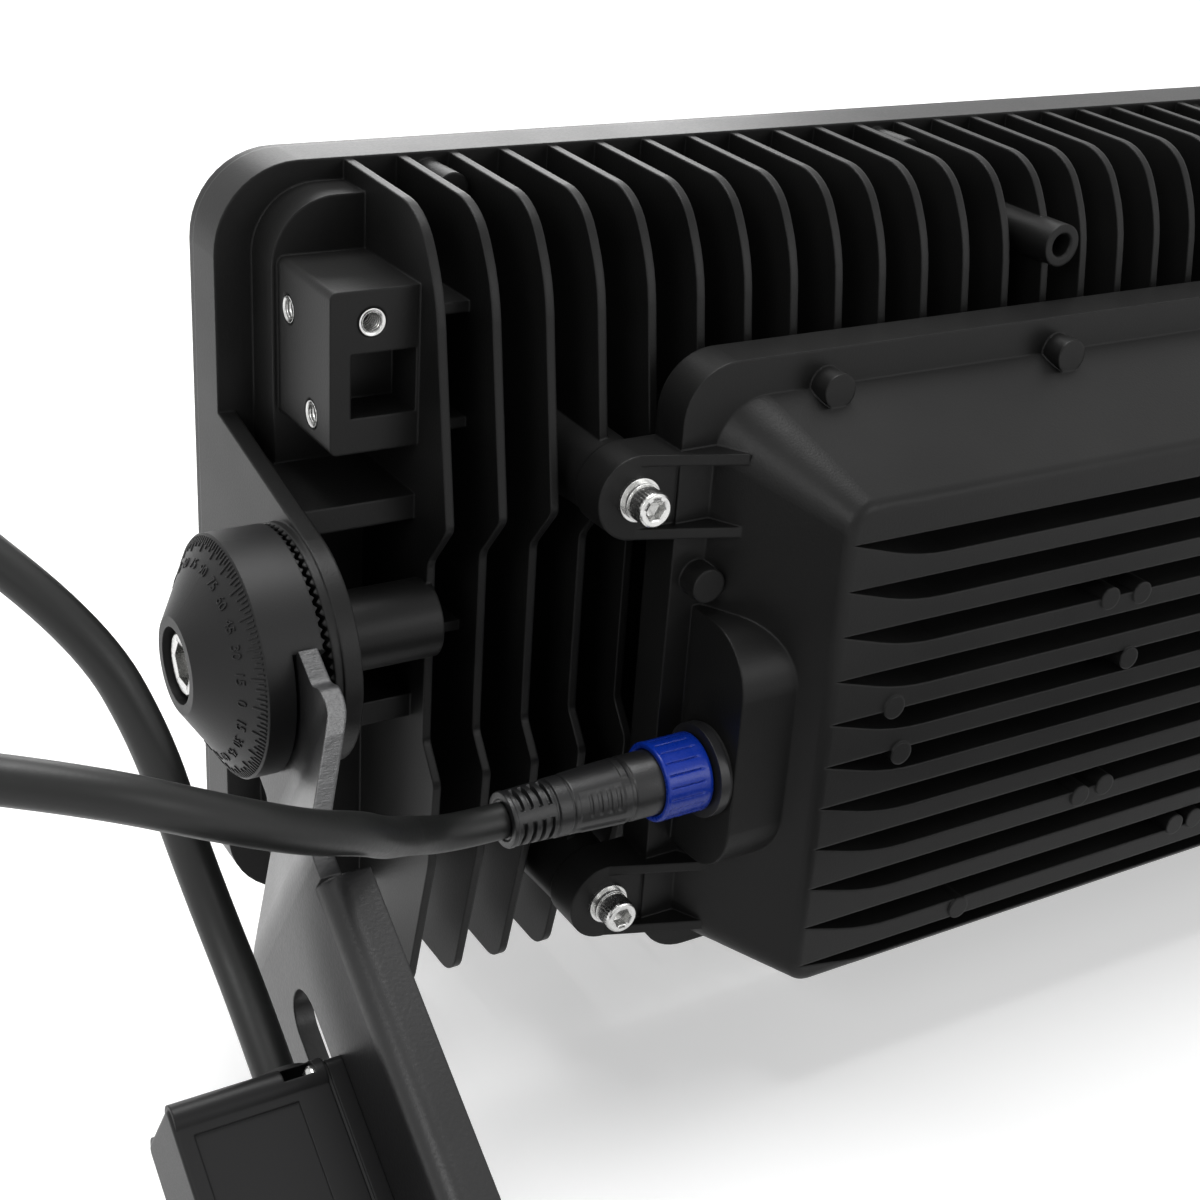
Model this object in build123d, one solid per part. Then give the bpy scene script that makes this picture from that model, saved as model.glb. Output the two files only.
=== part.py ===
from build123d import *
import math
import os

# LED floodlight: a finned die-cast lamp head that tilts in a steel yoke, with its driver box on the back
# and a junction box on one yoke arm. Sizes are in millimetres. +X runs along the tilt axis, +Y is the way
# the light shines and +Z is up. Pieces are drawn about the middle of the lamp head, and moved when they
# are saved, so that the origin lies on the outer face of the yoke's base, at its middle hole.

# Clearances
shaft_clearance = 0.08
thread_clearance = 0.05
face_clearance = 0.1
slip = 0.3
countersink = 0.6
drill_point = 0.58
drill_tip = 0.2

# Lamp head casting: a plate with fins behind and an open tray in front
frame_width = 572.0
frame_height = 228.0
frame_corner = 24.0
plate_thickness = 6.0
tray_depth = 10.0
tray_wall = 8.0
fin_count = 33
fin_pitch = 15.5
fin_thickness = 2.5
fin_tail = 12.0
fin_depth_top = 65.5
fin_depth_middle = 55.0
fin_depth_bottom = 62.5
rim_boss_radius = 4.5
rim_boss_length = 16.0
rim_boss_places = (1.5, 11.5, 20.5, 30.5)
rim_boss_drop = 6.5
nub_radius = 4.5
nub_height = 8.0
nub_drop = 13.0

# Ends of the casting: plateau, accessory block and ear, the same at both ends
plateau_side_band = 10.5
plateau_top_band = 6.0
plateau_rise = 14.0
plateau_corner = 18.0
plateau_wall = 4.0
block_inset = 1.5
block_rise = 48.0
block_top = 93.0
block_bottom = 50.0
pocket_width = 18.0
pocket_height = 17.0
pocket_depth = 14.0
pocket_middle = 68.0
insert_radius = 3.6
insert_bore = 2.5
insert_length = 8.0
side_insert_a = (-21.0, 81.0)
side_insert_b = (-36.0, 57.5)
rear_insert_inset = 11.5
rear_insert_drop = 8.5
ear_thickness = 5.0
ear_radius = 32.5
ear_root_reach = 46.0
ear_boss_radius = 11.0
ear_bolt_depth = 24.0
web_thickness = 7.0
web_middle = 30.0
web_rise = 47.0
gusset_heights = (84.8, 53.1, -7.2)
gusset_thickness = 3.0
gusset_reach = 45.0

# Tilt pivot, with rings of teeth on the ear and the dial, drawn loosened, so that their tips just clear
pivot_y = -53.0
pivot_z = 2.0
tooth_count = 72
tooth_outer = 31.5
tooth_inner = 26.5
tooth_share = 0.94
tooth_sink = 0.2
dial_radius = 32.0
tooth_height = 1.05
tooth_gap = 0.2
ear_ring = 2.2
disc_gap = 2.0
thrust_washer_radius = 19.0
thrust_washer_thickness = 1.4
bolt_shank = 6.0
bolt_head_radius = 9.0
bolt_head_length = 12.0
bolt_socket = 10.0
bolt_socket_depth = 6.0
bolt_recess = 1.5
head_washer_radius = 9.8
head_washer_thickness = 1.5
dial_depth = 27.5
dial_rim = 15.0
dial_nose_radius = 12.8

# Yoke: a bent steel strip, its arms pointing down and back from the pivot
yoke_angle = 32.5
yoke_plate = 5.0
yoke_disc_radius = 24.5
yoke_neck = 57.0
yoke_neck_start = 18.0
yoke_neck_end = 28.0
yoke_shoulder = 64.0
yoke_shoulder_start = 31.0
yoke_shoulder_end = 44.0
yoke_arm_width = 68.0
yoke_joggle = 17.0
yoke_joggle_start = 37.0
yoke_joggle_end = 69.0
yoke_joggle_radius = 18.0
yoke_joggle_tail = 8.0
yoke_reach = 220.0
yoke_bend = 14.0
yoke_lip = 12.0
yoke_lip_start = 78.0
yoke_lip_bend = 6.0
notch_depth = 8.0
base_hole_radius = 6.75
base_side_hole_radius = 5.5
base_side_hole_pitch = 160.0

# Driver box on the back
box_half_width = 188.0
box_top = 74.0
box_bottom = -112.0
box_corner = 16.0
box_front = -66.7
box_flange = 13.3
box_ledge = 10.0
box_bottom_ledge = 2.0
box_rear = -116.0
box_side_slope = 31.0
box_rear_top = 43.5
box_rear_bottom = -109.5
box_rear_corner = 8.0
box_edge = 4.0
box_wall = 3.0
groove_count = 11
groove_pitch = 13.5
groove_first = 33.0
groove_height = 7.2
groove_depth = 13.0
groove_inset = 1.0
groove_taper = 24.0
groove_sweep = 70.0
groove_lip = 3.0
pin_radius = 3.6
pin_stand = 0.6
pin_places = ((56.0, -1.4), (43.0, -2.0), (43.0, -24.0), (134.0, -20.0), (129.0, -36.0),
              (52.0, -70.5), (42.0, -69.0), (96.0, -99.0), (4.5, -94.0))
lug_radius = 12.0
lug_reach = 12.0
lug_heights = (39.0, -89.0)
lug_seat = -79.0
lug_rib = 3.0
lug_rib_run = 16.0
lug_rib_rear = -89.0
post_root_radius = 13.0
plate_boss_radius = 5.0
plate_boss_rise = 7.0
plate_post_length = 26.0
plate_screw_radius = 1.9
plate_screw_head = 3.5
plate_screw_length = 10.0
plate_screw_top = 64.0
plate_screw_xs = (142.8, 58.9)
plate_screw_side = 13.0
plate_screw_bottom = -102.0
base_plate_thickness = 3.0
base_plate_inset = 3.0
driver_seal_thickness = 1.2

# Raised pad on the left wall of the box, which carries the connector
pad_step = 8.0
pad_rear = -107.5
pad_top = 4.0
pad_bottom = -72.0
pad_corner = 17.0
pad_depth = 24.0

# Lug screws, M6 with a flat and a split washer
lug_screw_radius = 3.0
lug_screw_head = 5.0
lug_screw_head_length = 6.0
lug_screw_socket = 5.0
lug_screw_length = 28.0
flat_washer_radius = 6.2
flat_washer_thickness = 1.4
spring_washer_radius = 5.4
spring_washer_thickness = 1.8

# Waterproof connector
plug_y = -94.0
plug_z = -40.0
socket_seal_thickness = 1.0
socket_flange_radius = 13.6
socket_flange_thickness = 3.0
socket_barrel_radius = 8.2
socket_barrel_length = 13.0
socket_thread_radius = 9.0
socket_thread_length = 14.0
socket_nut_radius = 11.0
socket_nut_thickness = 4.0
contact_radius = 1.2
contact_circle = 4.0
contact_length = 6.0
ring_radius = 11.35
ring_wall = 1.8
ring_length = 14.6
ring_flutes = 24
ring_flute_radius = 0.6
ring_travel_gap = 1.0
plug_radius = 9.2
plug_neck_radius = 7.6
plug_tail_radius = 7.0
plug_body_length = 36.0
plug_length = 59.8
plug_groove = 0.8
plug_groove_width = 1.4
plug_groove_pitch = 3.2
plug_groove_count = 5

# Posts behind the plate for accessories
post_x = 46.5
post_z = 89.5
post_tip = -63.5
post_radius = 6.4
post_bore = 3.4
post_bore_depth = 22.0

# Junction box on the left arm, placed along the arm from the pivot
jbox_start = 109.0
jbox_length = 88.0
jbox_rear_edge = 6.0
jbox_width = 27.0
jbox_depth = 41.0
jbox_base = 4.0
jbox_wall = 2.6
jbox_seal = 0.8
jbox_panel_border = 4.0
jbox_panel_depth = 0.6
jbox_ridge = 3.8
jbox_ridge_inset = 3.0
jbox_seat = 2.5
jbox_notch = 7.5
jbox_screw_radius = 1.5
jbox_screw_head = 2.8
jbox_screw_head_length = 2.2
slot_radius = 8.2
slot_start = 87.5
slot_end = 119.0
slot_shift = 2.0
mount_screw_radius = 3.0
mount_screw_head = 5.0
mount_screw_places = (126.0, 180.0)
mount_nut_radius = 5.8
mount_nut_thickness = 5.0
cable_radius = 5.0
cable_offset = 12.0
cable_plug_run = 16.0
cable_box_run = 19.8
cable_arm_gap = 9.8
grommet_radius = 7.6
grommet_length = 2.5
grommet_flange = 1.6
gland_thread_radius = 6.9
gland_thread_length = 7.6
gland_flange = 1.0
gland_flange_radius = 8.0
gland_flats = 17.0
gland_hex_length = 6.0
gland_nut_length = 14.0
terminal_pitch = 11.0
terminal_ways = 3
terminal_height = 14.0
terminal_width = 16.0

# Light engine inside the tray
panel_count = 4
panel_gap = 8.0
panel_margin = 3.0
panel_corner = 8.0
thermal_pad_thickness = 0.5
board_thickness = 1.6
chip_rows = 6
chip_columns = 4
chip_size = 5.0
chip_height = 0.9
lens_radius = 9.5
lens_plate = 3.8
lens_skirt = 4.0
lens_seal_thickness = 1.2
bezel_thickness = 4.0
bezel_inset = 0.5
bezel_bar = 15.0
bezel_screw_radius = 2.0
bezel_screw_head = 2.6
bezel_screw_head_length = 2.4
bezel_screw_length = 10.0
bezel_screw_xs = (-250.0, -139.5, 0.0, 139.5, 250.0)
bezel_screw_sides = (-60.0, 60.0)

# Electronics inside the driver box
circuit_width = 300.0
circuit_height = 118.0
circuit_middle_z = -30.0
circuit_thickness = 1.6
circuit_standoff = 5.0
circuit_standoff_radius = 4.0
circuit_screw_radius = 1.5
core_size = 36.0
core_height = 17.0
capacitor_radius = 7.5
capacitor_length = 34.0
capacitor_inset = 20.0
choke_radius = 11.0
choke_height = 9.0
choke_inset = 50.0
choke_spread = 24.0
lead_sleeve_radius = 5.0
lead_sleeve_wall = 1.2
lead_radius = 1.6
lead_x = 7.75
lead_z = -20.0

# Places worked out from the sizes above
half_width = frame_width / 2
half_height = frame_height / 2
tray_front = plate_thickness + tray_depth
ring_face = half_width + ear_ring
dial_face = ring_face + 2 * tooth_height + tooth_gap
disc_face = dial_face + disc_gap
disc_back = disc_face + yoke_plate
arm_outer = disc_back + yoke_joggle
dial_nose = dial_face + dial_depth
bolt_head_top = dial_nose - bolt_recess
bolt_head_seat = bolt_head_top - bolt_head_length
dial_counterbore = bolt_head_seat - head_washer_thickness - face_clearance
box_rim_back = box_front - box_flange
box_rear_half_width = box_half_width - box_side_slope
groove_tip = box_rear_half_width - groove_inset
lug_x = box_half_width + lug_reach
lug_rib_end = box_half_width - lug_rib_run
pad_x = box_half_width - pad_step
seat_floor = box_front - base_plate_thickness - driver_seal_thickness
cavity_rear = box_rear + groove_depth + box_wall
lens_front = tray_front
lens_back = lens_front - lens_plate
bezel_screw_seat = tray_front + bezel_thickness - bezel_screw_head_length
board_front = plate_thickness + thermal_pad_thickness + board_thickness
panel_pitch = (frame_width - 2 * tray_wall) / panel_count
panel_width = panel_pitch - panel_gap
panel_height = frame_height - 2 * (tray_wall + panel_margin)
jbox_side_middle = jbox_rear_edge - jbox_width / 2
jbox_floor = arm_outer + jbox_base
jbox_outer = arm_outer + jbox_depth
plug_end = pad_x + socket_seal_thickness + plug_length + socket_flange_thickness + ring_travel_gap

# The yoke's own directions: along the arm from the pivot, and across it, up and back
arm_tilt = math.radians(yoke_angle)
along = Vector(0, -math.cos(arm_tilt), -math.sin(arm_tilt))
across = Vector(0, -math.sin(arm_tilt), math.cos(arm_tilt))
pivot = Vector(0, pivot_y, pivot_z)
base_point = pivot + along * (yoke_reach + yoke_plate)
arm_frame = Plane(origin=pivot, x_dir=along, z_dir=(-1, 0, 0)).location
BOTTOM = (Align.CENTER, Align.CENTER, Align.MIN)


def save(name, shapes):
    """Write one node, moved so that the yoke's base hole is the origin."""
    solids = [solid for shape in shapes for solid in shape.solids()]
    moved = [Location(-base_point) * solid for solid in solids]
    body = moved[0] if len(moved) == 1 else Compound(children=moved)
    body.label = name
    export_step(body, f"parts/{name}.step")


def box(x0, x1, y0, y1, z0, z1):
    """A box from its low and high faces."""
    return Pos((x0 + x1) / 2, (y0 + y1) / 2, (z0 + z1) / 2) * Box(x1 - x0, y1 - y0, z1 - z0)


def bar(start, direction, length, radius, tip=None):
    """A round bar from a point along a direction, or a cone where it has a tip radius."""
    place = Plane(origin=start, z_dir=direction).location
    if tip is None:
        return place * Cylinder(radius, length, align=BOTTOM)
    return place * Cone(radius, tip, length, align=BOTTOM)


def hex_bar(start, direction, length, flats):
    """A six-sided bar, sized across its flats."""
    outline = RegularPolygon(flats / 2, 6, major_radius=False)
    return Plane(origin=start, z_dir=direction).location * extrude(outline, length)


def flat(points, radii=0.0):
    """A flat face through points, its corners rounded by one radius or a list of them."""
    if radii == 0.0:
        return make_face(Polyline(*points, close=True))
    return make_face(FilletPolyline(*points, radius=radii, close=True))


def side_plate(points, x0, x1, radii=0.0):
    """A plate between two X levels, from an outline in (y, z)."""
    return extrude(Plane.YZ.offset(x0).location * flat(points, radii), x1 - x0)


def rear_plate(face, y_front, y_rear):
    """A plate between two Y levels, from a face drawn in (x, z)."""
    return extrude(Plane.XZ.offset(-y_front).location * face, y_front - y_rear)


def framed(x0, x1, z0, z1, corner):
    """A rounded rectangle drawn in (x, z)."""
    return Pos((x0 + x1) / 2, (z0 + z1) / 2) * RectangleRounded(x1 - x0, z1 - z0, corner)


def on_arm(shape):
    """A shape drawn along, across and outward from the pivot, moved to the left arm."""
    return arm_frame * shape


def arm_point(d, n, out):
    """A point on the left arm, from its distances along, across and outward."""
    return pivot + along * d + across * n - Vector(out, 0, 0)


def both(shape):
    """A shape and its mirror image at the other end of the lamp."""
    return [shape, mirror(shape, Plane.YZ)]


def fin():
    """One fin on the plane X = 0, with a shallow step where the air crosses."""
    top = half_height - 0.5
    tail = -half_height - fin_tail
    points = [(plate_thickness / 2, top), (-45, top - 2), (3.5 - fin_depth_top + 6, top - 20),
              (-fin_depth_top, 32), (-fin_depth_middle, 19), (-fin_depth_middle, -36),
              (-fin_depth_bottom, -46), (2 - fin_depth_bottom, -74), (-48, tail), (-16, tail),
              (plate_thickness / 2, 1 - half_height)]
    radii = [0, 18, 46, 4, 5, 5, 4, 25, 9, 6, 0]
    return side_plate(points, -fin_thickness / 2, fin_thickness / 2, radii)


def ear_outline(radius):
    """The ear's outline: the round end about the pivot and two straight edges back to the frame."""
    root = plate_thickness - pivot_y
    distance = math.hypot(root, ear_root_reach)
    turn = math.atan2(ear_root_reach, root) + math.acos(radius / distance)
    touch = (pivot_y + radius * math.cos(turn), radius * math.sin(turn))
    points = [(plate_thickness, pivot_z + ear_root_reach), (touch[0], pivot_z + touch[1]),
              (touch[0], pivot_z - touch[1]), (plate_thickness, pivot_z - ear_root_reach)]
    disc = Pos(pivot_y, pivot_z) * Circle(radius)
    return flat(points) + disc


def tooth(base, reach, turn):
    """One radial tooth on a plane X = -base, widening outward, its root sunk a little below."""
    half = math.radians(180 / tooth_count) * tooth_share
    root = -base + math.copysign(tooth_sink, reach)
    faces = []
    for radius in (tooth_inner, tooth_outer):
        low = radius * math.tan(half)
        corners = [(root, -low, radius), (root, low, radius), (-base - reach, 0, radius)]
        faces.append(make_face(Polyline(*corners, close=True)))
    wedge = loft(faces, ruled=True)
    return Location((0, pivot_y, pivot_z)) * (Rot(turn, 0, 0) * wedge)


def tooth_ring(base, reach, phase):
    """All the teeth of one ring."""
    step = 360 / tooth_count
    return [tooth(base, reach, phase + step * index) for index in range(tooth_count)]


def left_end():
    """Plateau, accessory block, ear, pivot boss and webs at the left end of the casting."""
    fin_face = fin_pitch * (fin_count - 1) / 2
    edge = -half_width + plateau_side_band
    top = half_height - plateau_top_band
    corners = [(edge, top), (-fin_face, top), (-fin_face, -top), (edge, -top)]
    plateau = rear_plate(flat(corners, [plateau_corner, 0, 0, plateau_corner]), 1, -plateau_rise)
    block_left = edge + block_inset
    block = box(block_left, -fin_face, -block_rise, 0, block_bottom, block_top)
    block = fillet(block.edges().filter_by(Axis.Y).group_by(Axis.X)[0], 2)
    ear = extrude(Plane.YZ.offset(-half_width).location * ear_outline(ear_radius), ear_thickness)
    boss = bar((-half_width, pivot_y, pivot_z), (1, 0, 0), half_width - fin_face, ear_boss_radius)
    end = plateau + block + ear + boss
    for height in (web_middle, -web_middle):
        low = pivot_z + height - web_thickness / 2
        end += box(-half_width + 1, -fin_face, -web_rise, 0, low, low + web_thickness)
    for height in gusset_heights:
        low = height - gusset_thickness / 2
        end += box(-fin_face, fin_pitch - fin_face, -gusset_reach, 0, low, low + gusset_thickness)
    return end


def left_end_cuts():
    """Hollow, pocket and threaded holes of the left end."""
    fin_face = fin_pitch * (fin_count - 1) / 2
    edge = -half_width + plateau_side_band
    top = half_height - plateau_top_band
    hollow = box(edge + plateau_wall, -fin_face - plateau_wall, plateau_wall - plateau_rise,
                 plate_thickness + 1, plateau_wall + plateau_corner - top, top - plateau_wall - plateau_corner)
    pocket_right = -fin_face - fin_thickness / 2 - 1
    pocket = box(pocket_right - pocket_width, pocket_right, -block_rise - 1, pocket_depth - block_rise,
                 pocket_middle - pocket_height / 2, pocket_middle + pocket_height / 2)
    cuts = [hollow, pocket]
    for start, direction in insert_places():
        cuts += drilled(start, direction, insert_length + 1, insert_radius + thread_clearance)
    bolt_hole = bar((-half_width - 20, pivot_y, pivot_z), (1, 0, 0), 20 + ear_bolt_depth + 3,
                    bolt_shank + thread_clearance)
    return cuts + [bolt_hole]


def drilled(start, direction, depth, radius):
    """Cuts of a blind hole: a countersunk mouth, the straight wall and the drill's point."""
    inward = Vector(*direction)
    mouth = Vector(*start) - inward * thread_clearance
    bottom = mouth + inward * depth
    return [bar(mouth, inward, countersink, radius + countersink, radius),
            bar(mouth, inward, depth, radius),
            bar(bottom, inward, radius * drill_point, radius, drill_tip)]


def insert_places():
    """Mouth and inward direction of each threaded insert in the left block."""
    left = -half_width + plateau_side_band + block_inset
    rear = (left + rear_insert_inset, -block_rise, block_top - rear_insert_drop)
    return [((left, *side_insert_a), (1, 0, 0)), ((left, *side_insert_b), (1, 0, 0)), (rear, (0, 1, 0))]


def housing():
    """The lamp head's casting."""
    outline = RectangleRounded(frame_width, frame_height, frame_corner)
    inner = RectangleRounded(frame_width - 2 * tray_wall, frame_height - 2 * tray_wall,
                             frame_corner - tray_wall)
    body = rear_plate(outline, tray_front, 0)
    body -= rear_plate(inner, tray_front + 1, plate_thickness)
    first = -fin_pitch * (fin_count - 1) / 2
    fins = [Pos(first + fin_pitch * index, 0, 0) * fin() for index in range(fin_count)]
    bosses = []
    for index in range(fin_count - 1):
        place = (first + fin_pitch * (index + 0.5), 1, half_height - nub_drop)
        bosses.append(bar(place, (0, -1, 0), nub_height + 1, nub_radius, nub_radius - 0.5))
    for index in rim_boss_places:
        place = (first + fin_pitch * index, 1, half_height - rim_boss_drop)
        bosses.append(bar(place, (0, -1, 0), rim_boss_length + 1, rim_boss_radius))
    posts = [bar((x, 1, post_z), (0, -1, 0), 1 - post_tip, post_radius + 0.8, post_radius)
             for x in (-post_x, post_x)]
    posts += [bar((x, 1, z), (0, -1, 0), 1 - box_front, post_root_radius, lug_radius - 1)
              for x in (-lug_x, lug_x) for z in lug_heights]
    for group in (fins, bosses, posts, both(left_end())):
        body = body.fuse(*group)
    ring = bar((-half_width + 1, pivot_y, pivot_z), (-1, 0, 0), ear_ring + 1, dial_radius)
    hub = bar((-half_width + 1, pivot_y, pivot_z), (-1, 0, 0), hub_face() - half_width + 1,
              thrust_washer_radius)
    toothed = ring.fuse(hub, *tooth_ring(ring_face, tooth_height, 0))
    body = body.fuse(*both(toothed))
    cuts = []
    for shape in left_end_cuts():
        cuts += both(shape)
    for x in (-post_x, post_x):
        cuts += drilled((x, post_tip, post_z), (0, 1, 0), post_bore_depth, post_bore)
    for x in (-lug_x, lug_x):
        for z in lug_heights:
            hole = lug_screw_length + lug_seat - box_front + 4
            cuts.append(bar((x, box_front - 1, z), (0, 1, 0), hole, lug_screw_radius + thread_clearance))
    for x, z in bezel_screw_points():
        cuts.append(bar((x, tray_front + 1, z), (0, -1, 0), bezel_screw_length,
                        bezel_screw_radius + thread_clearance))
    cuts.append(bar((lead_x, tray_front, lead_z), (0, -1, 0), tray_front + 10,
                    lead_sleeve_radius + thread_clearance))
    return body.cut(*cuts)


def hub_face():
    """Outward level of the ear's hub, which carries the thrust washer."""
    return disc_face - thrust_washer_thickness - face_clearance


def bezel_screw_points():
    """Places of the bezel's screws in (x, z), around the tray's wall."""
    edge = half_height - tray_wall / 2
    side = half_width - tray_wall / 2
    points = [(x, z) for x in bezel_screw_xs for z in (-edge, edge)]
    return points + [(x, z) for x in (-side, side) for z in bezel_screw_sides]


def panel_centres():
    """Middle of each light panel along X."""
    return [panel_pitch * (index - (panel_count - 1) / 2) for index in range(panel_count)]


def chip_points():
    """Places of the light-emitting chips on one panel, in (x, z)."""
    step_x = panel_width / chip_columns
    step_z = panel_height / chip_rows
    return [(step_x * (column - (chip_columns - 1) / 2), step_z * (row - (chip_rows - 1) / 2))
            for column in range(chip_columns) for row in range(chip_rows)]


def panel_slab(centre, inset, front, rear):
    """A rectangular layer of one light panel."""
    face = Pos(centre, 0) * RectangleRounded(panel_width - 2 * inset, panel_height - 2 * inset,
                                             panel_corner - inset / 2)
    return rear_plate(face, front, rear)


def lens_panel(centre):
    """A moulded lens plate with a skirt and one dome over each chip."""
    body = panel_slab(centre, 0, lens_front, board_front + lens_seal_thickness)
    body -= panel_slab(centre, lens_skirt, lens_back, board_front)
    domes = []
    for x, z in chip_points():
        dome = Pos(centre + x, lens_back, z) * Sphere(lens_radius)
        above = box(centre + x - 15, centre + x + 15, lens_back + 0.4, lens_back + 20, z - 15, z + 15)
        domes.append(dome & above)
    return body.fuse(*domes)


def bezel():
    """The front frame, with a window for each lens panel."""
    face = RectangleRounded(frame_width - 2 * bezel_inset, frame_height - 2 * bezel_inset,
                            frame_corner - bezel_inset)
    plate = rear_plate(face, tray_front + bezel_thickness, tray_front)
    cuts = []
    for centre in panel_centres():
        window = Pos(centre, 0) * RectangleRounded(panel_pitch - bezel_bar, panel_height - 7, 6)
        cuts.append(rear_plate(window, tray_front + bezel_thickness + 1, tray_front - 1))
    for x, z in bezel_screw_points():
        cuts.append(bar((x, tray_front - 1, z), (0, 1, 0), bezel_thickness + 2,
                        bezel_screw_radius + thread_clearance))
        cuts.append(bar((x, bezel_screw_seat, z), (0, 1, 0), bezel_thickness, bezel_screw_head + slip))
    return plate.cut(*cuts)


def pan_screw(head_seat, direction, radius, length, head_radius, head_length):
    """A screw with a low round head and a cross recess; direction points along the shank."""
    back = Vector(*direction) * -1
    shank = bar(head_seat, direction, length, radius)
    head = bar(head_seat, back, head_length, head_radius, head_radius * 0.72)
    place = Plane(origin=Vector(*head_seat) + back * head_length, z_dir=back).location
    slot = Box(head_radius * 1.05, head_radius * 0.28, head_length)
    cross = place * (slot + Rot(0, 0, 90) * slot)
    return shank + head - cross


def cap_screw(head_seat, direction, radius, length, head_radius, head_length, socket, socket_depth):
    """A cylinder-head screw with a hexagon socket; direction points along the shank."""
    back = Vector(*direction) * -1
    top = Vector(*head_seat) + back * head_length
    head = bar(head_seat, back, head_length, head_radius)
    head = chamfer(head.edges().filter_by(GeomType.CIRCLE).sort_by(lambda e: (e.center() - top).length)[0],
                   head_radius * 0.08)
    shank = bar(head_seat, direction, length, radius)
    return head + shank - hex_bar(top, direction, socket_depth, socket)


def washer(start, direction, thickness, radius, bore):
    """A flat ring."""
    return bar(start, direction, thickness, radius) - bar(start, direction, thickness, bore)


def box_foot(inset):
    """The box walls' outline where they meet the flange, drawn in (x, z)."""
    half = box_half_width - box_ledge - inset
    return framed(-half, half, box_bottom + box_bottom_ledge + inset, box_top - box_ledge - inset,
                  box_corner - inset)


def box_back(inset):
    """The box's outline at its rear face, drawn in (x, z)."""
    half = box_rear_half_width - inset
    return framed(-half, half, box_rear_bottom + inset, box_rear_top - inset, box_rear_corner)


def between(low_face, y_low, high_face, y_high):
    """A straight-sided solid between two outlines on two Y levels."""
    low = Plane.XZ.offset(-y_low).location * low_face
    high = Plane.XZ.offset(-y_high).location * high_face
    return loft([low, high], ruled=True)


def groove(index):
    """One open slot between the rear fins, pointed at both ends."""
    top = groove_first - groove_pitch * index
    low = max(top - groove_height, box_rear_bottom + groove_lip)
    inner = groove_tip - groove_taper
    points = [(-groove_tip, top), (groove_tip, top), (inner, low), (-inner, low)]
    face = flat(points, [0, 0, groove_sweep, groove_sweep])
    return rear_plate(face, box_rear + groove_depth, box_rear - 2)


def plate_screw_points():
    """Places of the base plate's screws in (x, z): top, sides and bottom."""
    side = box_half_width - box_ledge + 2
    points = [(sign * x, plate_screw_top) for x in plate_screw_xs for sign in (-1, 1)]
    points += [(-side, plate_screw_side), (side, plate_screw_side)]
    return points + [(sign * x, plate_screw_bottom) for x in plate_screw_xs for sign in (-1, 1)]


def driver_housing():
    """The driver box's casting, open at its front."""
    flange = rear_plate(framed(-box_half_width, box_half_width, box_bottom, box_top, box_corner),
                        box_front, box_rim_back)
    walls = between(box_foot(0), box_rim_back + 1, box_back(0), box_rear)
    walls = fillet(walls.edges().group_by(Axis.Y)[0], box_edge)
    pieces = [walls]
    for x in (-lug_x, lug_x):
        side = math.copysign(1, x)
        for z in lug_heights:
            pieces.append(bar((x, box_front, z), (0, -1, 0), box_front - lug_seat, lug_radius))
            root = side * (box_half_width - 2)
            pieces.append(box(min(x, root), max(x, root), lug_seat, box_front, z - lug_radius, z + lug_radius))
            for low in (z - lug_radius, z + lug_radius - lug_rib):
                rib = flat([(x, lug_seat + 1), (x, lug_seat), (side * lug_rib_end, lug_rib_rear),
                            (side * lug_rib_end, lug_seat + 1)])
                pieces.append(Pos(0, 0, low) * extrude(rib, lug_rib))
    for x, z in plate_screw_points():
        if z != plate_screw_bottom:
            pieces.append(bar((x, box_rim_back + 2, z), (0, -1, 0), plate_boss_rise + 2, plate_boss_radius))
    pad_outline = [(box_rim_back + 1, pad_top), (pad_rear, pad_top), (pad_rear, pad_bottom),
                   (box_rim_back + 1, pad_bottom)]
    pieces.append(side_plate(pad_outline, -pad_x, -pad_x + pad_depth, [0, pad_corner, pad_corner, 0]))
    body = flange.fuse(*pieces)
    cavity = between(box_foot(box_wall), box_rim_back + 1, box_back(box_wall + 8), cavity_rear)
    mouth = rear_plate(box_foot(box_wall), box_front + 1, box_rim_back)
    seat = rear_plate(base_outline(0), box_front + 1, seat_floor)
    body = body.cut(cavity, mouth, seat)
    inside = []
    for x, z in plate_screw_points():
        if z == plate_screw_bottom:
            post = bar((x, seat_floor, z), (0, -1, 0), plate_post_length, plate_boss_radius)
            inside.append(post + box(x - lug_rib / 2, x + lug_rib / 2, seat_floor - plate_post_length,
                                     seat_floor, box_bottom + box_wall, z))
    for x, z in circuit_corners():
        inside.append(bar((x, cavity_rear - 1, z), (0, 1, 0), circuit_standoff + 1, circuit_standoff_radius))
    for index in range(len(pin_places)):
        x, z = pin_places[index]
        for side in (-1, 1):
            inside.append(bar((side * x, box_rear + groove_depth + 1, z), (0, -1, 0),
                              groove_depth + 1 + pin_stand, pin_radius))
    grooves = [groove(index) for index in range(groove_count)]
    body = body.cut(*grooves).fuse(*inside)
    cuts = []
    for x in (-lug_x, lug_x):
        for z in lug_heights:
            cuts.append(bar((x, box_front + 1, z), (0, -1, 0), 20, lug_screw_radius + slip))
    for x, z in plate_screw_points():
        cuts.append(bar((x, box_front, z), (0, -1, 0), plate_screw_length + 2,
                        plate_screw_radius + thread_clearance))
    for x, z in circuit_corners():
        cuts.append(bar((x, cavity_rear + circuit_standoff + 1, z), (0, -1, 0), circuit_standoff + 0.5,
                        circuit_screw_radius + thread_clearance))
    inner_seat = pad_x - socket_thread_length + socket_nut_thickness
    cuts.append(bar((-inner_seat, plug_y, plug_z), (1, 0, 0), 30, socket_nut_radius + 0.5))
    cuts.append(bar((-pad_x - 1, plug_y, plug_z), (1, 0, 0), 30, socket_thread_radius + thread_clearance))
    return body.cut(*cuts)


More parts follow.
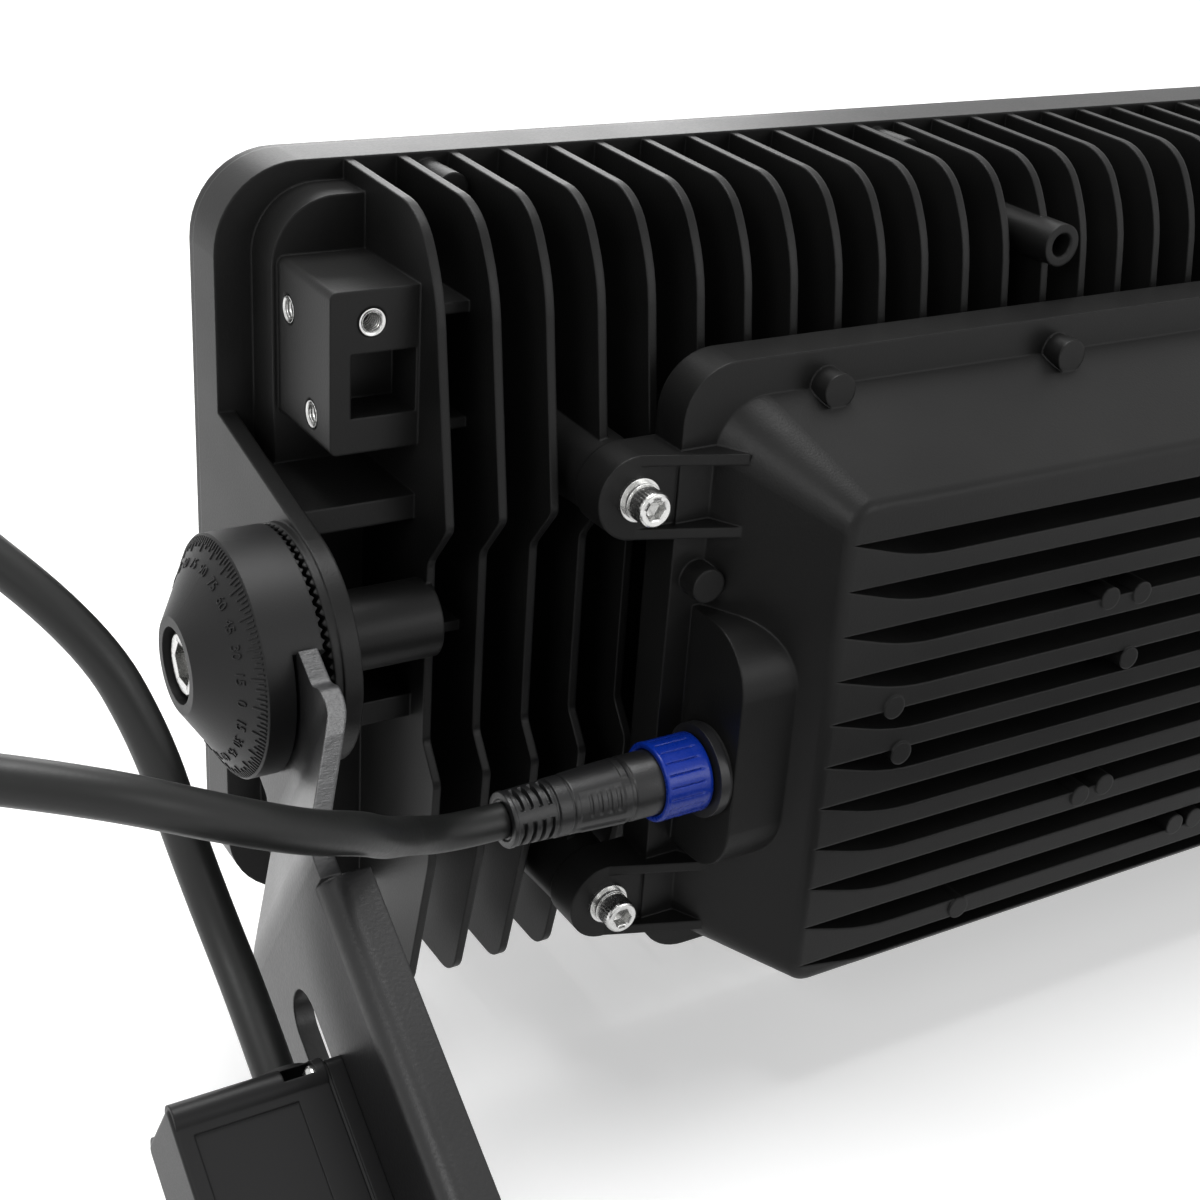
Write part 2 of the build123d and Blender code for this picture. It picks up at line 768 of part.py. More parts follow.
def base_outline(inset):
    """Outline of the seat for the base plate, drawn in (x, z)."""
    half = box_half_width - base_plate_inset - inset
    return framed(-half, half, box_bottom + base_plate_inset + inset,
                  box_top - base_plate_inset - inset, box_corner - base_plate_inset)


def base_plate():
    """The flat plate that closes the front of the driver box."""
    plate = rear_plate(base_outline(slip), box_front - face_clearance,
                       box_front - base_plate_thickness)
    cuts = [bar((x, box_front + 1, z), (0, -1, 0), 10, plate_screw_radius + slip)
            for x, z in plate_screw_points()]
    cuts.append(bar((lead_x, box_front + 1, lead_z), (0, -1, 0), 10, lead_sleeve_radius + thread_clearance))
    return plate.cut(*cuts)


def driver_seal():
    """The gasket between the base plate and the box."""
    ring = rear_plate(base_outline(slip), box_front - base_plate_thickness, seat_floor)
    ring -= rear_plate(box_foot(box_wall), box_front, seat_floor - 1)
    cuts = [bar((x, box_front, z), (0, -1, 0), 20, plate_screw_radius + slip)
            for x, z in plate_screw_points()]
    return ring.cut(*cuts)


def circuit_corners():
    """Places of the circuit board's screws in (x, z)."""
    half = circuit_width / 2 - 8
    return [(x, circuit_middle_z + z) for x in (-half, half)
            for z in (8 - circuit_height / 2, circuit_height / 2 - 8)]


def circuit_board():
    """The driver's printed circuit board."""
    rear = cavity_rear + circuit_standoff
    half = circuit_height / 2
    board = box(-circuit_width / 2, circuit_width / 2, rear, rear + circuit_thickness,
                circuit_middle_z - half, circuit_middle_z + half)
    cuts = [bar((x, rear - 1, z), (0, 1, 0), 5, circuit_screw_radius + slip) for x, z in circuit_corners()]
    return board.cut(*cuts)


def transformers():
    """Two wound cores standing on the circuit board, each one block with its winding."""
    level = cavity_rear + circuit_standoff + circuit_thickness
    pieces = []
    for x in (-70, 30):
        low = circuit_middle_z - core_size / 2
        core = box(x, x + core_size, level, level + core_height, low, low + core_size)
        winding = box(x + 5, x + core_size - 5, level + 2, level + core_height - 2,
                      low - 3, low + core_size + 3)
        pieces.append(core + winding)
    return pieces


def capacitors():
    """Round capacitors lying on the circuit board."""
    level = cavity_rear + circuit_standoff + circuit_thickness + capacitor_radius
    return [bar((capacitor_inset - circuit_width / 2, level, circuit_middle_z + z), (1, 0, 0),
                capacitor_length, capacitor_radius)
            for z in (-26, -9, 8)]


def chokes():
    """Ring-core chokes lying flat on the circuit board."""
    level = cavity_rear + circuit_standoff + circuit_thickness
    return [washer((x, level, circuit_middle_z + z), (0, 1, 0), choke_height, choke_radius, choke_radius / 2)
            for x in [circuit_width / 2 - choke_inset] for z in (choke_spread, -choke_spread)]


def panel_socket():
    """The connector's fixed half: a flange, a threaded tail and a barrel, in one moulding."""
    seat = -pad_x - socket_seal_thickness
    flange = bar((seat, plug_y, plug_z), (-1, 0, 0), socket_flange_thickness, socket_flange_radius)
    barrel = bar((seat - socket_flange_thickness, plug_y, plug_z), (-1, 0, 0), socket_barrel_length,
                 socket_barrel_radius)
    tail = bar((seat, plug_y, plug_z), (1, 0, 0), socket_seal_thickness + socket_thread_length,
               socket_thread_radius)
    body = flange + barrel + tail
    holes = [bar(start, (1, 0, 0), 60, contact_radius) for start in contact_starts()]
    return body.cut(*holes)


def contact_starts():
    """Outer ends of the three contact pins."""
    tip = -pad_x - socket_seal_thickness - socket_flange_thickness - socket_barrel_length - contact_length
    points = []
    for index in range(3):
        turn = math.radians(90 + 120 * index)
        points.append((tip, plug_y + contact_circle * math.cos(turn), plug_z + contact_circle * math.sin(turn)))
    return points


def contacts():
    """The pins, from inside the box to inside the plug."""
    length = contact_length + socket_barrel_length + socket_flange_thickness + 20
    return [bar(start, (1, 0, 0), length, contact_radius) for start in contact_starts()]


def socket_nut():
    """The nut that holds the socket from inside the box."""
    seat = -(pad_x - socket_thread_length + socket_nut_thickness)
    nut = hex_bar((seat, plug_y, plug_z), (1, 0, 0), socket_nut_thickness, 2 * socket_nut_radius * 0.86)
    return nut - bar((seat - 1, plug_y, plug_z), (1, 0, 0), 20, socket_thread_radius + thread_clearance)


def ring_start():
    """Level of the lock ring's end beside the socket's flange."""
    return pad_x + socket_seal_thickness + socket_flange_thickness + ring_travel_gap


def lock_ring():
    """The fluted bayonet ring that turns on the plug."""
    start = (-ring_start(), plug_y, plug_z)
    ring = washer(start, (-1, 0, 0), ring_length, ring_radius, ring_radius - ring_wall)
    cuts = []
    for index in range(ring_flutes):
        turn = 2 * math.pi * index / ring_flutes
        place = (-ring_start() - ring_length * 0.12, plug_y + ring_radius * math.cos(turn),
                 plug_z + ring_radius * math.sin(turn))
        cuts.append(bar(place, (-1, 0, 0), ring_length, ring_flute_radius))
    return ring.cut(*cuts)


def plug():
    """The cable's plug: a collar under the lock ring, a body and a ribbed strain relief."""
    start = -ring_start()
    body_end = start - plug_body_length
    body = bar((start, plug_y, plug_z), (-1, 0, 0), plug_body_length, plug_radius)
    tail = bar((body_end, plug_y, plug_z), (-1, 0, 0), plug_length - plug_body_length,
               plug_neck_radius, plug_tail_radius)
    shoulder = bar((body_end + 6, plug_y, plug_z), (-1, 0, 0), 6, plug_radius, plug_neck_radius)
    body = body.cut(bar((body_end + 6, plug_y, plug_z), (-1, 0, 0), 7, plug_radius + 1))
    plug_solid = body + shoulder + tail
    bore = bar((start + 1, plug_y, plug_z), (-1, 0, 0), socket_barrel_length + 1.2,
               socket_barrel_radius + thread_clearance)
    cuts = [bore]
    for point in contact_starts():
        cuts.append(bar((point[0] - 0.5, point[1], point[2]), (1, 0, 0), 30, contact_radius + thread_clearance))
    for index in range(plug_groove_count):
        level = body_end - 3 - plug_groove_pitch * index
        outer = bar((level, plug_y, plug_z), (-1, 0, 0), plug_groove_width, plug_radius)
        cuts.append(outer - bar((level + 1, plug_y, plug_z), (-1, 0, 0), plug_groove_width + 2,
                                plug_tail_radius - plug_groove))
    return plug_solid.cut(*cuts)


def dial():
    """The left toothed dial, with a notch for the yoke's neck and a pocket for its disc."""
    nose = dial_nose
    profile = [(dial_face, 0), (dial_face, dial_radius), (dial_face + dial_rim, dial_radius),
               (nose, dial_nose_radius), (nose, 0)]
    face = flat([(-x, z) for x, z in profile])
    solid = revolve(Plane.XZ.location * face, Axis.X)
    solid = Location((0, pivot_y, pivot_z)) * solid
    solid = solid.fuse(*tooth_ring(dial_face, -tooth_height, 180 / tooth_count))
    pocket_depth_needed = disc_back + slip
    pocket = bar((-dial_face + 5, pivot_y, pivot_z), (-1, 0, 0), pocket_depth_needed - dial_face + 5,
                 tooth_inner - 0.6)
    notch_level = dial_face + notch_depth
    notch = on_arm(box(yoke_neck_start - slip, dial_radius + 5, -dial_radius, dial_radius,
                       dial_face - 5, notch_level))
    bore = bar((-dial_face + 5, pivot_y, pivot_z), (-1, 0, 0), 60, bolt_shank + shaft_clearance)
    counterbore = bar((-dial_counterbore, pivot_y, pivot_z), (-1, 0, 0), 60, head_washer_radius + slip)
    return solid.cut(pocket, notch, bore, counterbore)


def yoke_half():
    """The left half of the yoke, drawn along, across and outward from the pivot."""
    start = yoke_joggle_start
    end = yoke_joggle_end
    tail = end + yoke_joggle_tail
    low = arm_outer - yoke_plate
    side = [(-yoke_disc_radius, disc_face), (start, disc_face), (end, low), (tail, low), (tail, arm_outer),
            (end, arm_outer), (start, disc_back), (-yoke_disc_radius, disc_back)]
    outer_bend = yoke_joggle_radius
    inner_bend = yoke_joggle_radius - yoke_plate
    radii = [0, outer_bend, inner_bend, 0, 0, outer_bend, inner_bend, 0]
    strip = Location((0, yoke_arm_width, 0), (90, 0, 0)) * extrude(flat(side, radii), 2 * yoke_arm_width)
    arm = yoke_arm_width / 2
    edge = [(yoke_neck_start, yoke_neck / 2), (yoke_neck_end, yoke_neck / 2),
            (yoke_shoulder_start, yoke_shoulder / 2), (yoke_shoulder_end, arm), (tail, arm)]
    outline = flat(edge + [(d, -n) for d, n in reversed(edge)], [0, 3, 3, 12, 0, 0, 12, 3, 3, 0])
    outline += Circle(yoke_disc_radius)
    upper = strip & (Pos(0, 0, disc_face - 5) * extrude(outline, yoke_joggle + 20))
    corner = yoke_reach + yoke_plate
    bend_start = yoke_reach - yoke_bend - 4
    plain = [(arm, low), (arm, arm_outer), (-arm, arm_outer), (-arm, low)]
    lipped = [(arm, arm_outer), (arm, arm_outer - yoke_lip), (arm - yoke_plate, arm_outer - yoke_lip),
              (arm - yoke_plate, low), (-arm, low), (-arm, arm_outer)]
    lower = Plane(origin=(tail, 0, 0), x_dir=(0, 1, 0), z_dir=(1, 0, 0)).location * extrude(
        flat(plain), yoke_lip_start - tail)
    lower += Plane(origin=(yoke_lip_start, 0, 0), x_dir=(0, 1, 0), z_dir=(1, 0, 0)).location * extrude(
        flat(lipped, [yoke_lip_bend, 0, 0, 1, 0, 0]), bend_start - yoke_lip_start)
    angle = [(yoke_reach - yoke_bend - 6, arm_outer), (corner, arm_outer), (corner, 0), (yoke_reach, 0),
             (yoke_reach, low), (yoke_reach - yoke_bend - 6, low)]
    bent = flat(angle, [0, yoke_bend, 0, 0, yoke_bend - yoke_plate, 0])
    base = Location((0, arm, 0), (90, 0, 0)) * extrude(bent, yoke_arm_width)
    return upper + lower + base


def yoke():
    """The whole yoke, with its pivot holes, base holes and the slot for the junction box."""
    left = on_arm(yoke_half())
    body = left + mirror(left, Plane.YZ)
    hole = bar((-arm_outer - 5, pivot_y, pivot_z), (1, 0, 0), 60, bolt_shank + shaft_clearance)
    cuts = both(hole)
    start = pivot + along * (yoke_reach - 1)
    cuts.append(bar(start, along, yoke_plate + 2, base_hole_radius))
    for x in (-base_side_hole_pitch / 2, base_side_hole_pitch / 2):
        cuts.append(bar(start + Vector(x, 0, 0), along, yoke_plate + 2, base_side_hole_radius))
    middle = (slot_start + slot_end) / 2
    slot = Pos(middle, jbox_side_middle - slot_shift) * SlotOverall(slot_end - slot_start, 2 * slot_radius)
    cuts.append(on_arm(Pos(0, 0, arm_outer - yoke_plate - 1) * extrude(slot, yoke_plate + 2)))
    for d in mount_screw_places:
        place = arm_point(d, jbox_side_middle, arm_outer - yoke_plate - 1)
        cuts.append(bar(place, (-1, 0, 0), yoke_plate + 2, mount_screw_radius + slip))
    return body.cut(*cuts)


def jbox_corners():
    """Screw places at the junction box's corners, along and across the arm."""
    near = jbox_start + jbox_ridge_inset
    far = jbox_start + jbox_length - jbox_ridge_inset
    rear = jbox_rear_edge - jbox_ridge_inset + 0.5
    front = jbox_rear_edge - jbox_width + jbox_ridge_inset - 0.5
    return [(d, n) for d in (near, far) for n in (rear, front)]


def jbox_block(inset, low, high):
    """A rounded block on the junction box's outline, between two outward levels."""
    outline = RectangleRounded(jbox_length - 2 * inset, jbox_width - 2 * inset, 2.5)
    place = Pos(jbox_start + jbox_length / 2, jbox_side_middle, low)
    return place * extrude(outline, high - low)


def jbox_cover():
    """The deep cover, with a rounded corner column at each screw and a recessed rear panel."""
    low = jbox_floor + jbox_seal
    body = jbox_block(0, low, jbox_outer)
    body = fillet(body.edges().group_by(Axis.Z)[-1], 1.2)
    columns = [Pos(d, n, low) * Cylinder(jbox_ridge, jbox_outer - low - 0.6, align=BOTTOM)
               for d, n in jbox_corners()]
    body = body.fuse(*columns)
    body -= jbox_block(jbox_wall, low - 1, jbox_outer - jbox_wall)
    body = body.fuse(*[column & jbox_block(0.2, low, jbox_outer) for column in columns])
    cuts = []
    for d, n in jbox_corners():
        cuts.append(Pos(d, n, low + jbox_seat) * Cylinder(jbox_screw_head + 0.7, jbox_notch, align=BOTTOM))
        outward = 1 if n > jbox_side_middle else -1
        side = 1 if d > jbox_start + jbox_length / 2 else -1
        cuts.append(box(min(d, d + 8 * side), max(d, d + 8 * side), min(n, n + 8 * outward),
                        max(n, n + 8 * outward), low + jbox_seat, low + jbox_seat + jbox_notch))
        cuts.append(Pos(d, n, low - 1) * Cylinder(jbox_screw_radius + slip, 10, align=BOTTOM))
    border = jbox_panel_border + jbox_ridge
    cuts.append(box(jbox_start + border, jbox_start + jbox_length - border,
                    jbox_rear_edge - jbox_panel_depth, jbox_rear_edge + 1,
                    low + jbox_panel_border + 4, jbox_outer - jbox_panel_border))
    for d in (jbox_start, jbox_start + jbox_length):
        radius = grommet_radius - grommet_flange if d == jbox_start else gland_thread_radius
        hole = Location((d - 6, jbox_side_middle, arm_outer + cable_offset), (0, 90, 0)) * Cylinder(
            radius + thread_clearance, 12, align=BOTTOM)
        cuts.append(hole)
    return body.cut(*cuts)


def jbox_base_plate():
    """The junction box's base, bolted flat on the arm."""
    base = jbox_block(0, arm_outer, jbox_floor)
    cuts = [Pos(d, n, arm_outer - 1) * Cylinder(jbox_screw_radius + thread_clearance, 10, align=BOTTOM)
            for d, n in jbox_corners()]
    cuts += [Pos(d, jbox_side_middle, arm_outer - 1) * Cylinder(mount_screw_radius + slip, 10, align=BOTTOM)
             for d in mount_screw_places]
    return base.cut(*cuts)


def jbox_gasket():
    """The flat seal between base and cover."""
    low = jbox_floor
    ring = jbox_block(0.3, low, low + jbox_seal) - jbox_block(jbox_wall + 0.4, low - 1, low + 2)
    corners = [Pos(d, n, low) * Cylinder(jbox_ridge, jbox_seal, align=BOTTOM) for d, n in jbox_corners()]
    ring = ring.fuse(*[corner & jbox_block(0.3, low, low + jbox_seal) for corner in corners])
    cuts = [Pos(d, n, low - 1) * Cylinder(jbox_screw_radius + slip, 5, align=BOTTOM)
            for d, n in jbox_corners()]
    return ring.cut(*cuts)


def jbox_screws():
    """The cover's small cross-head screws, driven toward the arm."""
    level = jbox_floor + jbox_seal + jbox_seat
    return [pan_screw(arm_point(d, n, level), (1, 0, 0), jbox_screw_radius, level - arm_outer - 0.2,
                      jbox_screw_head, jbox_screw_head_length) for d, n in jbox_corners()]


def mount_screws():
    """Screws from inside the junction box through the arm, and their nuts."""
    screws = []
    nuts = []
    for d in mount_screw_places:
        seat = arm_point(d, jbox_side_middle, jbox_floor)
        length = jbox_base + yoke_plate + mount_nut_thickness + 2
        screws.append(pan_screw(seat, (1, 0, 0), mount_screw_radius, length, mount_screw_head, 3.2))
        under = arm_point(d, jbox_side_middle, arm_outer - yoke_plate)
        nut = hex_bar(under, (1, 0, 0), mount_nut_thickness, 2 * mount_nut_radius * 0.87)
        nuts.append(nut - bar(under, (1, 0, 0), 10, mount_screw_radius + thread_clearance))
    return screws, nuts


def terminal_block():
    """Terminals for three wires, on the junction box's base between its two screws."""
    middle = sum(mount_screw_places) / 2
    half = terminal_pitch * terminal_ways / 2
    block = box(middle - half, middle + half, jbox_side_middle - terminal_width / 2,
                jbox_side_middle + terminal_width / 2, jbox_floor, jbox_floor + terminal_height)
    cuts = []
    screws = []
    for way in range(terminal_ways):
        d = middle + terminal_pitch * (way - (terminal_ways - 1) / 2)
        for n in (-4.5, 4.5):
            place = (d, jbox_side_middle + n, jbox_floor + terminal_height - 6)
            cuts.append(Pos(*place) * Cylinder(2.0, 10, align=BOTTOM))
            screws.append(Pos(*place) * Cylinder(2.0 - thread_clearance, 4, align=BOTTOM))
        across_hole = Location((d, jbox_side_middle - 20, jbox_floor + 4), (-90, 0, 0))
        cuts.append(across_hole * Cylinder(1.7, 40, align=BOTTOM))
    return block.cut(*cuts), screws


def grommet():
    """The rubber seal where the lamp's cable enters the junction box."""
    place = arm_point(jbox_start, jbox_side_middle, arm_outer + cable_offset)
    outer = bar(place - along * grommet_length, along, grommet_length, grommet_radius)
    neck = bar(place, along, jbox_wall, grommet_radius - grommet_flange)
    inner = bar(place + along * jbox_wall, along, 2, grommet_radius - grommet_flange - 0.4)
    return outer + neck + inner


def supply_gland():
    """The gland for the mains lead at the junction box's far end: body, and its clamping nut."""
    place = arm_point(jbox_start + jbox_length, jbox_side_middle, arm_outer + cable_offset)
    body = bar(place, along, gland_flange, gland_flange_radius)
    body += hex_bar(place + along * gland_flange, along, gland_hex_length, gland_flats)
    body += bar(place - along * gland_thread_length, along, gland_thread_length + 1, gland_thread_radius)
    body -= bar(place - along * (gland_thread_length + 1), along, 30, cable_radius + slip)
    start = place + along * (gland_flange + gland_hex_length)
    nut = hex_bar(start, along, gland_nut_length * 0.6, gland_flats - 1)
    nut += bar(start + along * gland_nut_length * 0.6, along, gland_nut_length * 0.4,
               gland_flats / 2 - 0.5, cable_radius + 1.8)
    nut -= bar(start - along, along, gland_nut_length + 2, cable_radius + slip)
    return body, nut


def cable():
    """The lamp's cable: straight runs joined by arcs as large as the runs allow."""
    points = [Vector(*point) for point in cable_route]
    radii = []
    for before, here, after in zip(points, points[1:], points[2:]):
        half_turn = math.radians((here - before).get_angle(after - here) / 2)
        shorter = min((here - before).length, (after - here).length)
        radii.append(0.45 * shorter / math.tan(half_turn))
    path = FilletPolyline(*points, radius=radii)
    section = Plane(origin=points[0], z_dir=points[1] - points[0]).location * Circle(cable_radius)
    tube = sweep(section, path=path)
    length = sum(edge.length for edge in path.edges())
    print("cable radii", [round(radius) for radius in radii])
    print("cable length", round(length), "volume ratio",
          round(tube.volume / (math.pi * cable_radius**2 * length), 5))
    return tube


def to_arm(share):
    """X level of the cable on its way from the plug's straight run to the arm's rear edge."""
    first = plug_end + cable_plug_run
    return -first - (arm_outer - cable_arm_gap - first) * share


def past_arm(distance):
    """X level at a distance outward from the arm."""
    return -arm_outer - distance


# The cable's route, from the plug round behind the yoke arm, out in a slack loop and back to the
# junction box
cable_route = (
    (-plug_end, plug_y, plug_z),
    (-plug_end - cable_plug_run, plug_y, plug_z),
    (to_arm(0.333), -102.0, -31.3),
    (to_arm(0.538), -114.4, -21.4),
    (to_arm(0.784), -126.2, -11.2),
    (to_arm(1.0), -135.7, -1.5),
    (past_arm(6.8), -145.3, 8.0),
    (past_arm(29.7), -156.7, 24.1),
    (past_arm(53.5), -156.1, 36.2),
    (past_arm(90.7), -141.7, 43.7),
    (past_arm(135.5), -137.9, 59.0),
    (past_arm(176.2), -113.3, 73.0),
    (past_arm(194.7), -73.2, 86.0),
    (past_arm(181.5), -31.2, 97.0),
    (past_arm(142.5), -12.0, 101.0),
    (past_arm(98.6), -29.0, 93.0),
    (past_arm(61.3), -66.1, 60.0),
    (past_arm(33.9), -88.5, 33.4),
    (past_arm(24.2), -96.7, 9.1),
    (past_arm(18.3), -99.9, -17.5),
    (past_arm(14.5), -108.5, -36.0),
    arm_point(jbox_start - grommet_length - cable_box_run, jbox_side_middle, arm_outer + cable_offset),
    arm_point(jbox_start - grommet_length, jbox_side_middle, arm_outer + cable_offset),
)

os.makedirs("parts", exist_ok=True)

save("heatsink_housing", [housing()])
save("thermal_pads", [panel_slab(c, 0, plate_thickness + thermal_pad_thickness, plate_thickness)
                      for c in panel_centres()])
save("led_boards", [panel_slab(c, 0, board_front, plate_thickness + thermal_pad_thickness)
                    for c in panel_centres()])
save("led_chips", [box(c + x - chip_size / 2, c + x + chip_size / 2, board_front, board_front + chip_height,
                       z - chip_size / 2, z + chip_size / 2)
                   for c in panel_centres() for x, z in chip_points()])
save("lens_seals", [panel_slab(c, 0, board_front + lens_seal_thickness, board_front)
                    - panel_slab(c, lens_skirt, board_front + 5, board_front - 1)
                    for c in panel_centres()])
save("lens_panels", [lens_panel(c) for c in panel_centres()])
save("front_bezel", [bezel()])
save("bezel_screws", [pan_screw((x, bezel_screw_seat, z), (0, -1, 0), bezel_screw_radius,
                                bezel_screw_length, bezel_screw_head, bezel_screw_head_length)
                      for x, z in bezel_screw_points()])
inserts = [washer(start, direction, insert_length, insert_radius, insert_bore)
           for start, direction in insert_places()]
save("thread_inserts", [copy for shape in inserts for copy in both(shape)])

save("driver_housing", [driver_housing()])
save("driver_base_plate", [base_plate()])
save("driver_seal", [driver_seal()])
save("base_plate_screws", [pan_screw((x, box_front, z), (0, -1, 0), plate_screw_radius,
                                     plate_screw_length, plate_screw_head, 1.2)
                           for x, z in plate_screw_points()])
save("driver_circuit_board", [circuit_board()])
save("board_screws", [pan_screw((x, cavity_rear + circuit_standoff + circuit_thickness, z), (0, -1, 0),
                                circuit_screw_radius, circuit_standoff, 2.8, 1.8)
                      for x, z in circuit_corners()])
save("driver_transformers", transformers())
save("driver_capacitors", capacitors())
save("driver_chokes", chokes())

lug_points = [(x, z) for x in (-lug_x, lug_x) for z in lug_heights]
spring_seat = lug_seat - flat_washer_thickness
head_seat = spring_seat - spring_washer_thickness
save("lug_flat_washers", [washer((x, lug_seat, z), (0, -1, 0), flat_washer_thickness,
                                 flat_washer_radius, lug_screw_radius + slip) for x, z in lug_points])
save("lug_spring_washers", [washer((x, spring_seat, z), (0, -1, 0), spring_washer_thickness,
                                   spring_washer_radius, lug_screw_radius + slip)
                            - box(x, x + 8, head_seat - 1, spring_seat + 1, z - 0.5, z + 0.5)
                            for x, z in lug_points])
save("lug_screws", [cap_screw((x, head_seat, z), (0, 1, 0), lug_screw_radius, lug_screw_length,
                              lug_screw_head, lug_screw_head_length, lug_screw_socket, 3.2)
                    for x, z in lug_points])

sleeve_start = (lead_x, plate_thickness, lead_z)
sleeve_length = plate_thickness - box_front + base_plate_thickness
save("lead_sleeve", [washer(sleeve_start, (0, -1, 0), sleeve_length, lead_sleeve_radius,
                            lead_sleeve_radius - lead_sleeve_wall)])
save("led_leads", [bar((lead_x + x, plate_thickness, lead_z), (0, -1, 0), sleeve_length + 8, lead_radius)
                   for x in (-lead_radius - 0.1, lead_radius + 0.1)])

save("panel_socket", [panel_socket()])
save("socket_seal", [washer((-pad_x, plug_y, plug_z), (-1, 0, 0), socket_seal_thickness,
                            socket_flange_radius - 0.4, socket_thread_radius + slip)])
save("socket_nut", [socket_nut()])
save("socket_contacts", contacts())
save("plug_body", [plug()])
save("lock_ring", [lock_ring()])
save("lamp_cable", [cable()])

pivot_washers = washer((-bolt_head_seat, pivot_y, pivot_z), (1, 0, 0), head_washer_thickness,
                       head_washer_radius, bolt_shank + shaft_clearance)
pivot_bolt = cap_screw((-bolt_head_seat, pivot_y, pivot_z), (1, 0, 0), bolt_shank,
                       bolt_head_seat - half_width + ear_bolt_depth, bolt_head_radius, bolt_head_length,
                       bolt_socket, bolt_socket_depth)
thrust_washer = washer((-disc_face, pivot_y, pivot_z), (1, 0, 0), thrust_washer_thickness,
                       thrust_washer_radius, bolt_shank + shaft_clearance)
save("pivot_bolts", both(pivot_bolt))
save("pivot_washers", both(pivot_washers))
save("thrust_washers", both(thrust_washer))
left_dial = dial()
save("dial_left", [left_dial])
save("dial_right", [mirror(left_dial, Plane.YZ)])
save("yoke", [yoke()])

save("junction_box_base", [on_arm(jbox_base_plate())])
save("junction_box_gasket", [on_arm(jbox_gasket())])
save("junction_box_cover", [on_arm(jbox_cover())])
save("junction_box_screws", jbox_screws())
box_screws, box_nuts = mount_screws()
save("box_mount_screws", box_screws)
save("box_mount_nuts", box_nuts)
block, block_screws = terminal_block()
save("terminal_block", [on_arm(block)])
save("terminal_screws", [on_arm(screw) for screw in block_screws])
save("cable_grommet", [grommet()])
gland_body, gland_nut = supply_gland()
save("supply_gland_body", [gland_body])
save("supply_gland_nut", [gland_nut])
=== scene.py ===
import math

import bmesh
import bpy
from mathutils import Matrix, Vector


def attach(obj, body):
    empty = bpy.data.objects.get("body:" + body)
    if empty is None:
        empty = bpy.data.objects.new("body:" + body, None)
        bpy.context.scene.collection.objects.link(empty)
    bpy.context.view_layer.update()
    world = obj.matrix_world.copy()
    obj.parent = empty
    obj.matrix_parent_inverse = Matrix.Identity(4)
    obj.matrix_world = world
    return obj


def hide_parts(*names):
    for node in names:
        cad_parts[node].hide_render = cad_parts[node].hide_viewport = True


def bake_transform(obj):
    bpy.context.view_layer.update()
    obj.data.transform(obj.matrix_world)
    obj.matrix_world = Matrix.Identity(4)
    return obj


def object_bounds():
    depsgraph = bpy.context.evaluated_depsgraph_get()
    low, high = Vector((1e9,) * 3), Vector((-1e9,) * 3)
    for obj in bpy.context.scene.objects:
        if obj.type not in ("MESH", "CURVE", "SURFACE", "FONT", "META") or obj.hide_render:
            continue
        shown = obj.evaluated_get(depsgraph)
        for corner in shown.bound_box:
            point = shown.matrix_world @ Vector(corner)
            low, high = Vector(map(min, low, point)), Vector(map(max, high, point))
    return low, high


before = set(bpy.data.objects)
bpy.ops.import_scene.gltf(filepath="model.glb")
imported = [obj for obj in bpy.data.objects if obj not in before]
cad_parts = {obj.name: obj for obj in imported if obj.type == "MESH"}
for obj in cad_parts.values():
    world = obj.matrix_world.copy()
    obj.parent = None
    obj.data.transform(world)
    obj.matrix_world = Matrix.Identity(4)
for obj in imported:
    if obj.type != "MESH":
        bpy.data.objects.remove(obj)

# Looks of the LED floodlight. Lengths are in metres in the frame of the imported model: +X along the tilt
# axis, +Y the way the light shines, +Z up, and the origin on the yoke's base. Pieces that are drawn in
# detail use millimetres about the middle of the lamp head, as the solids' own source does.

cad_low, cad_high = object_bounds()
scene = bpy.context.scene
MM = 0.001

# Camera: the photograph's view of the left rear corner, from above
photo_camera = bpy.data.objects.new("photo_camera", bpy.data.cameras.new("photo_camera"))
scene.collection.objects.link(photo_camera)
camera_place = Vector((-0.4535, -0.2209, 0.3518))
camera_back = Vector((-0.4819, -0.7601, 0.4359)).normalized()
camera_right = Vector((0.8589, -0.5083, 0.0629))
camera_right = (camera_right - camera_back * camera_right.dot(camera_back)).normalized()
camera_up = camera_back.cross(camera_right)
camera_axes = Matrix((camera_right, camera_up, camera_back)).transposed().to_4x4()
photo_camera.matrix_world = Matrix.Translation(camera_place) @ camera_axes
photo_camera.data.sensor_width = 36.0
photo_camera.data.lens = 56.93
photo_camera.data.shift_y = -0.0033
scene.camera = photo_camera


def shown(name, mesh):
    """An object at the origin that carries a finished mesh."""
    piece = bpy.data.objects.new(name, mesh)
    scene.collection.objects.link(piece)
    return piece


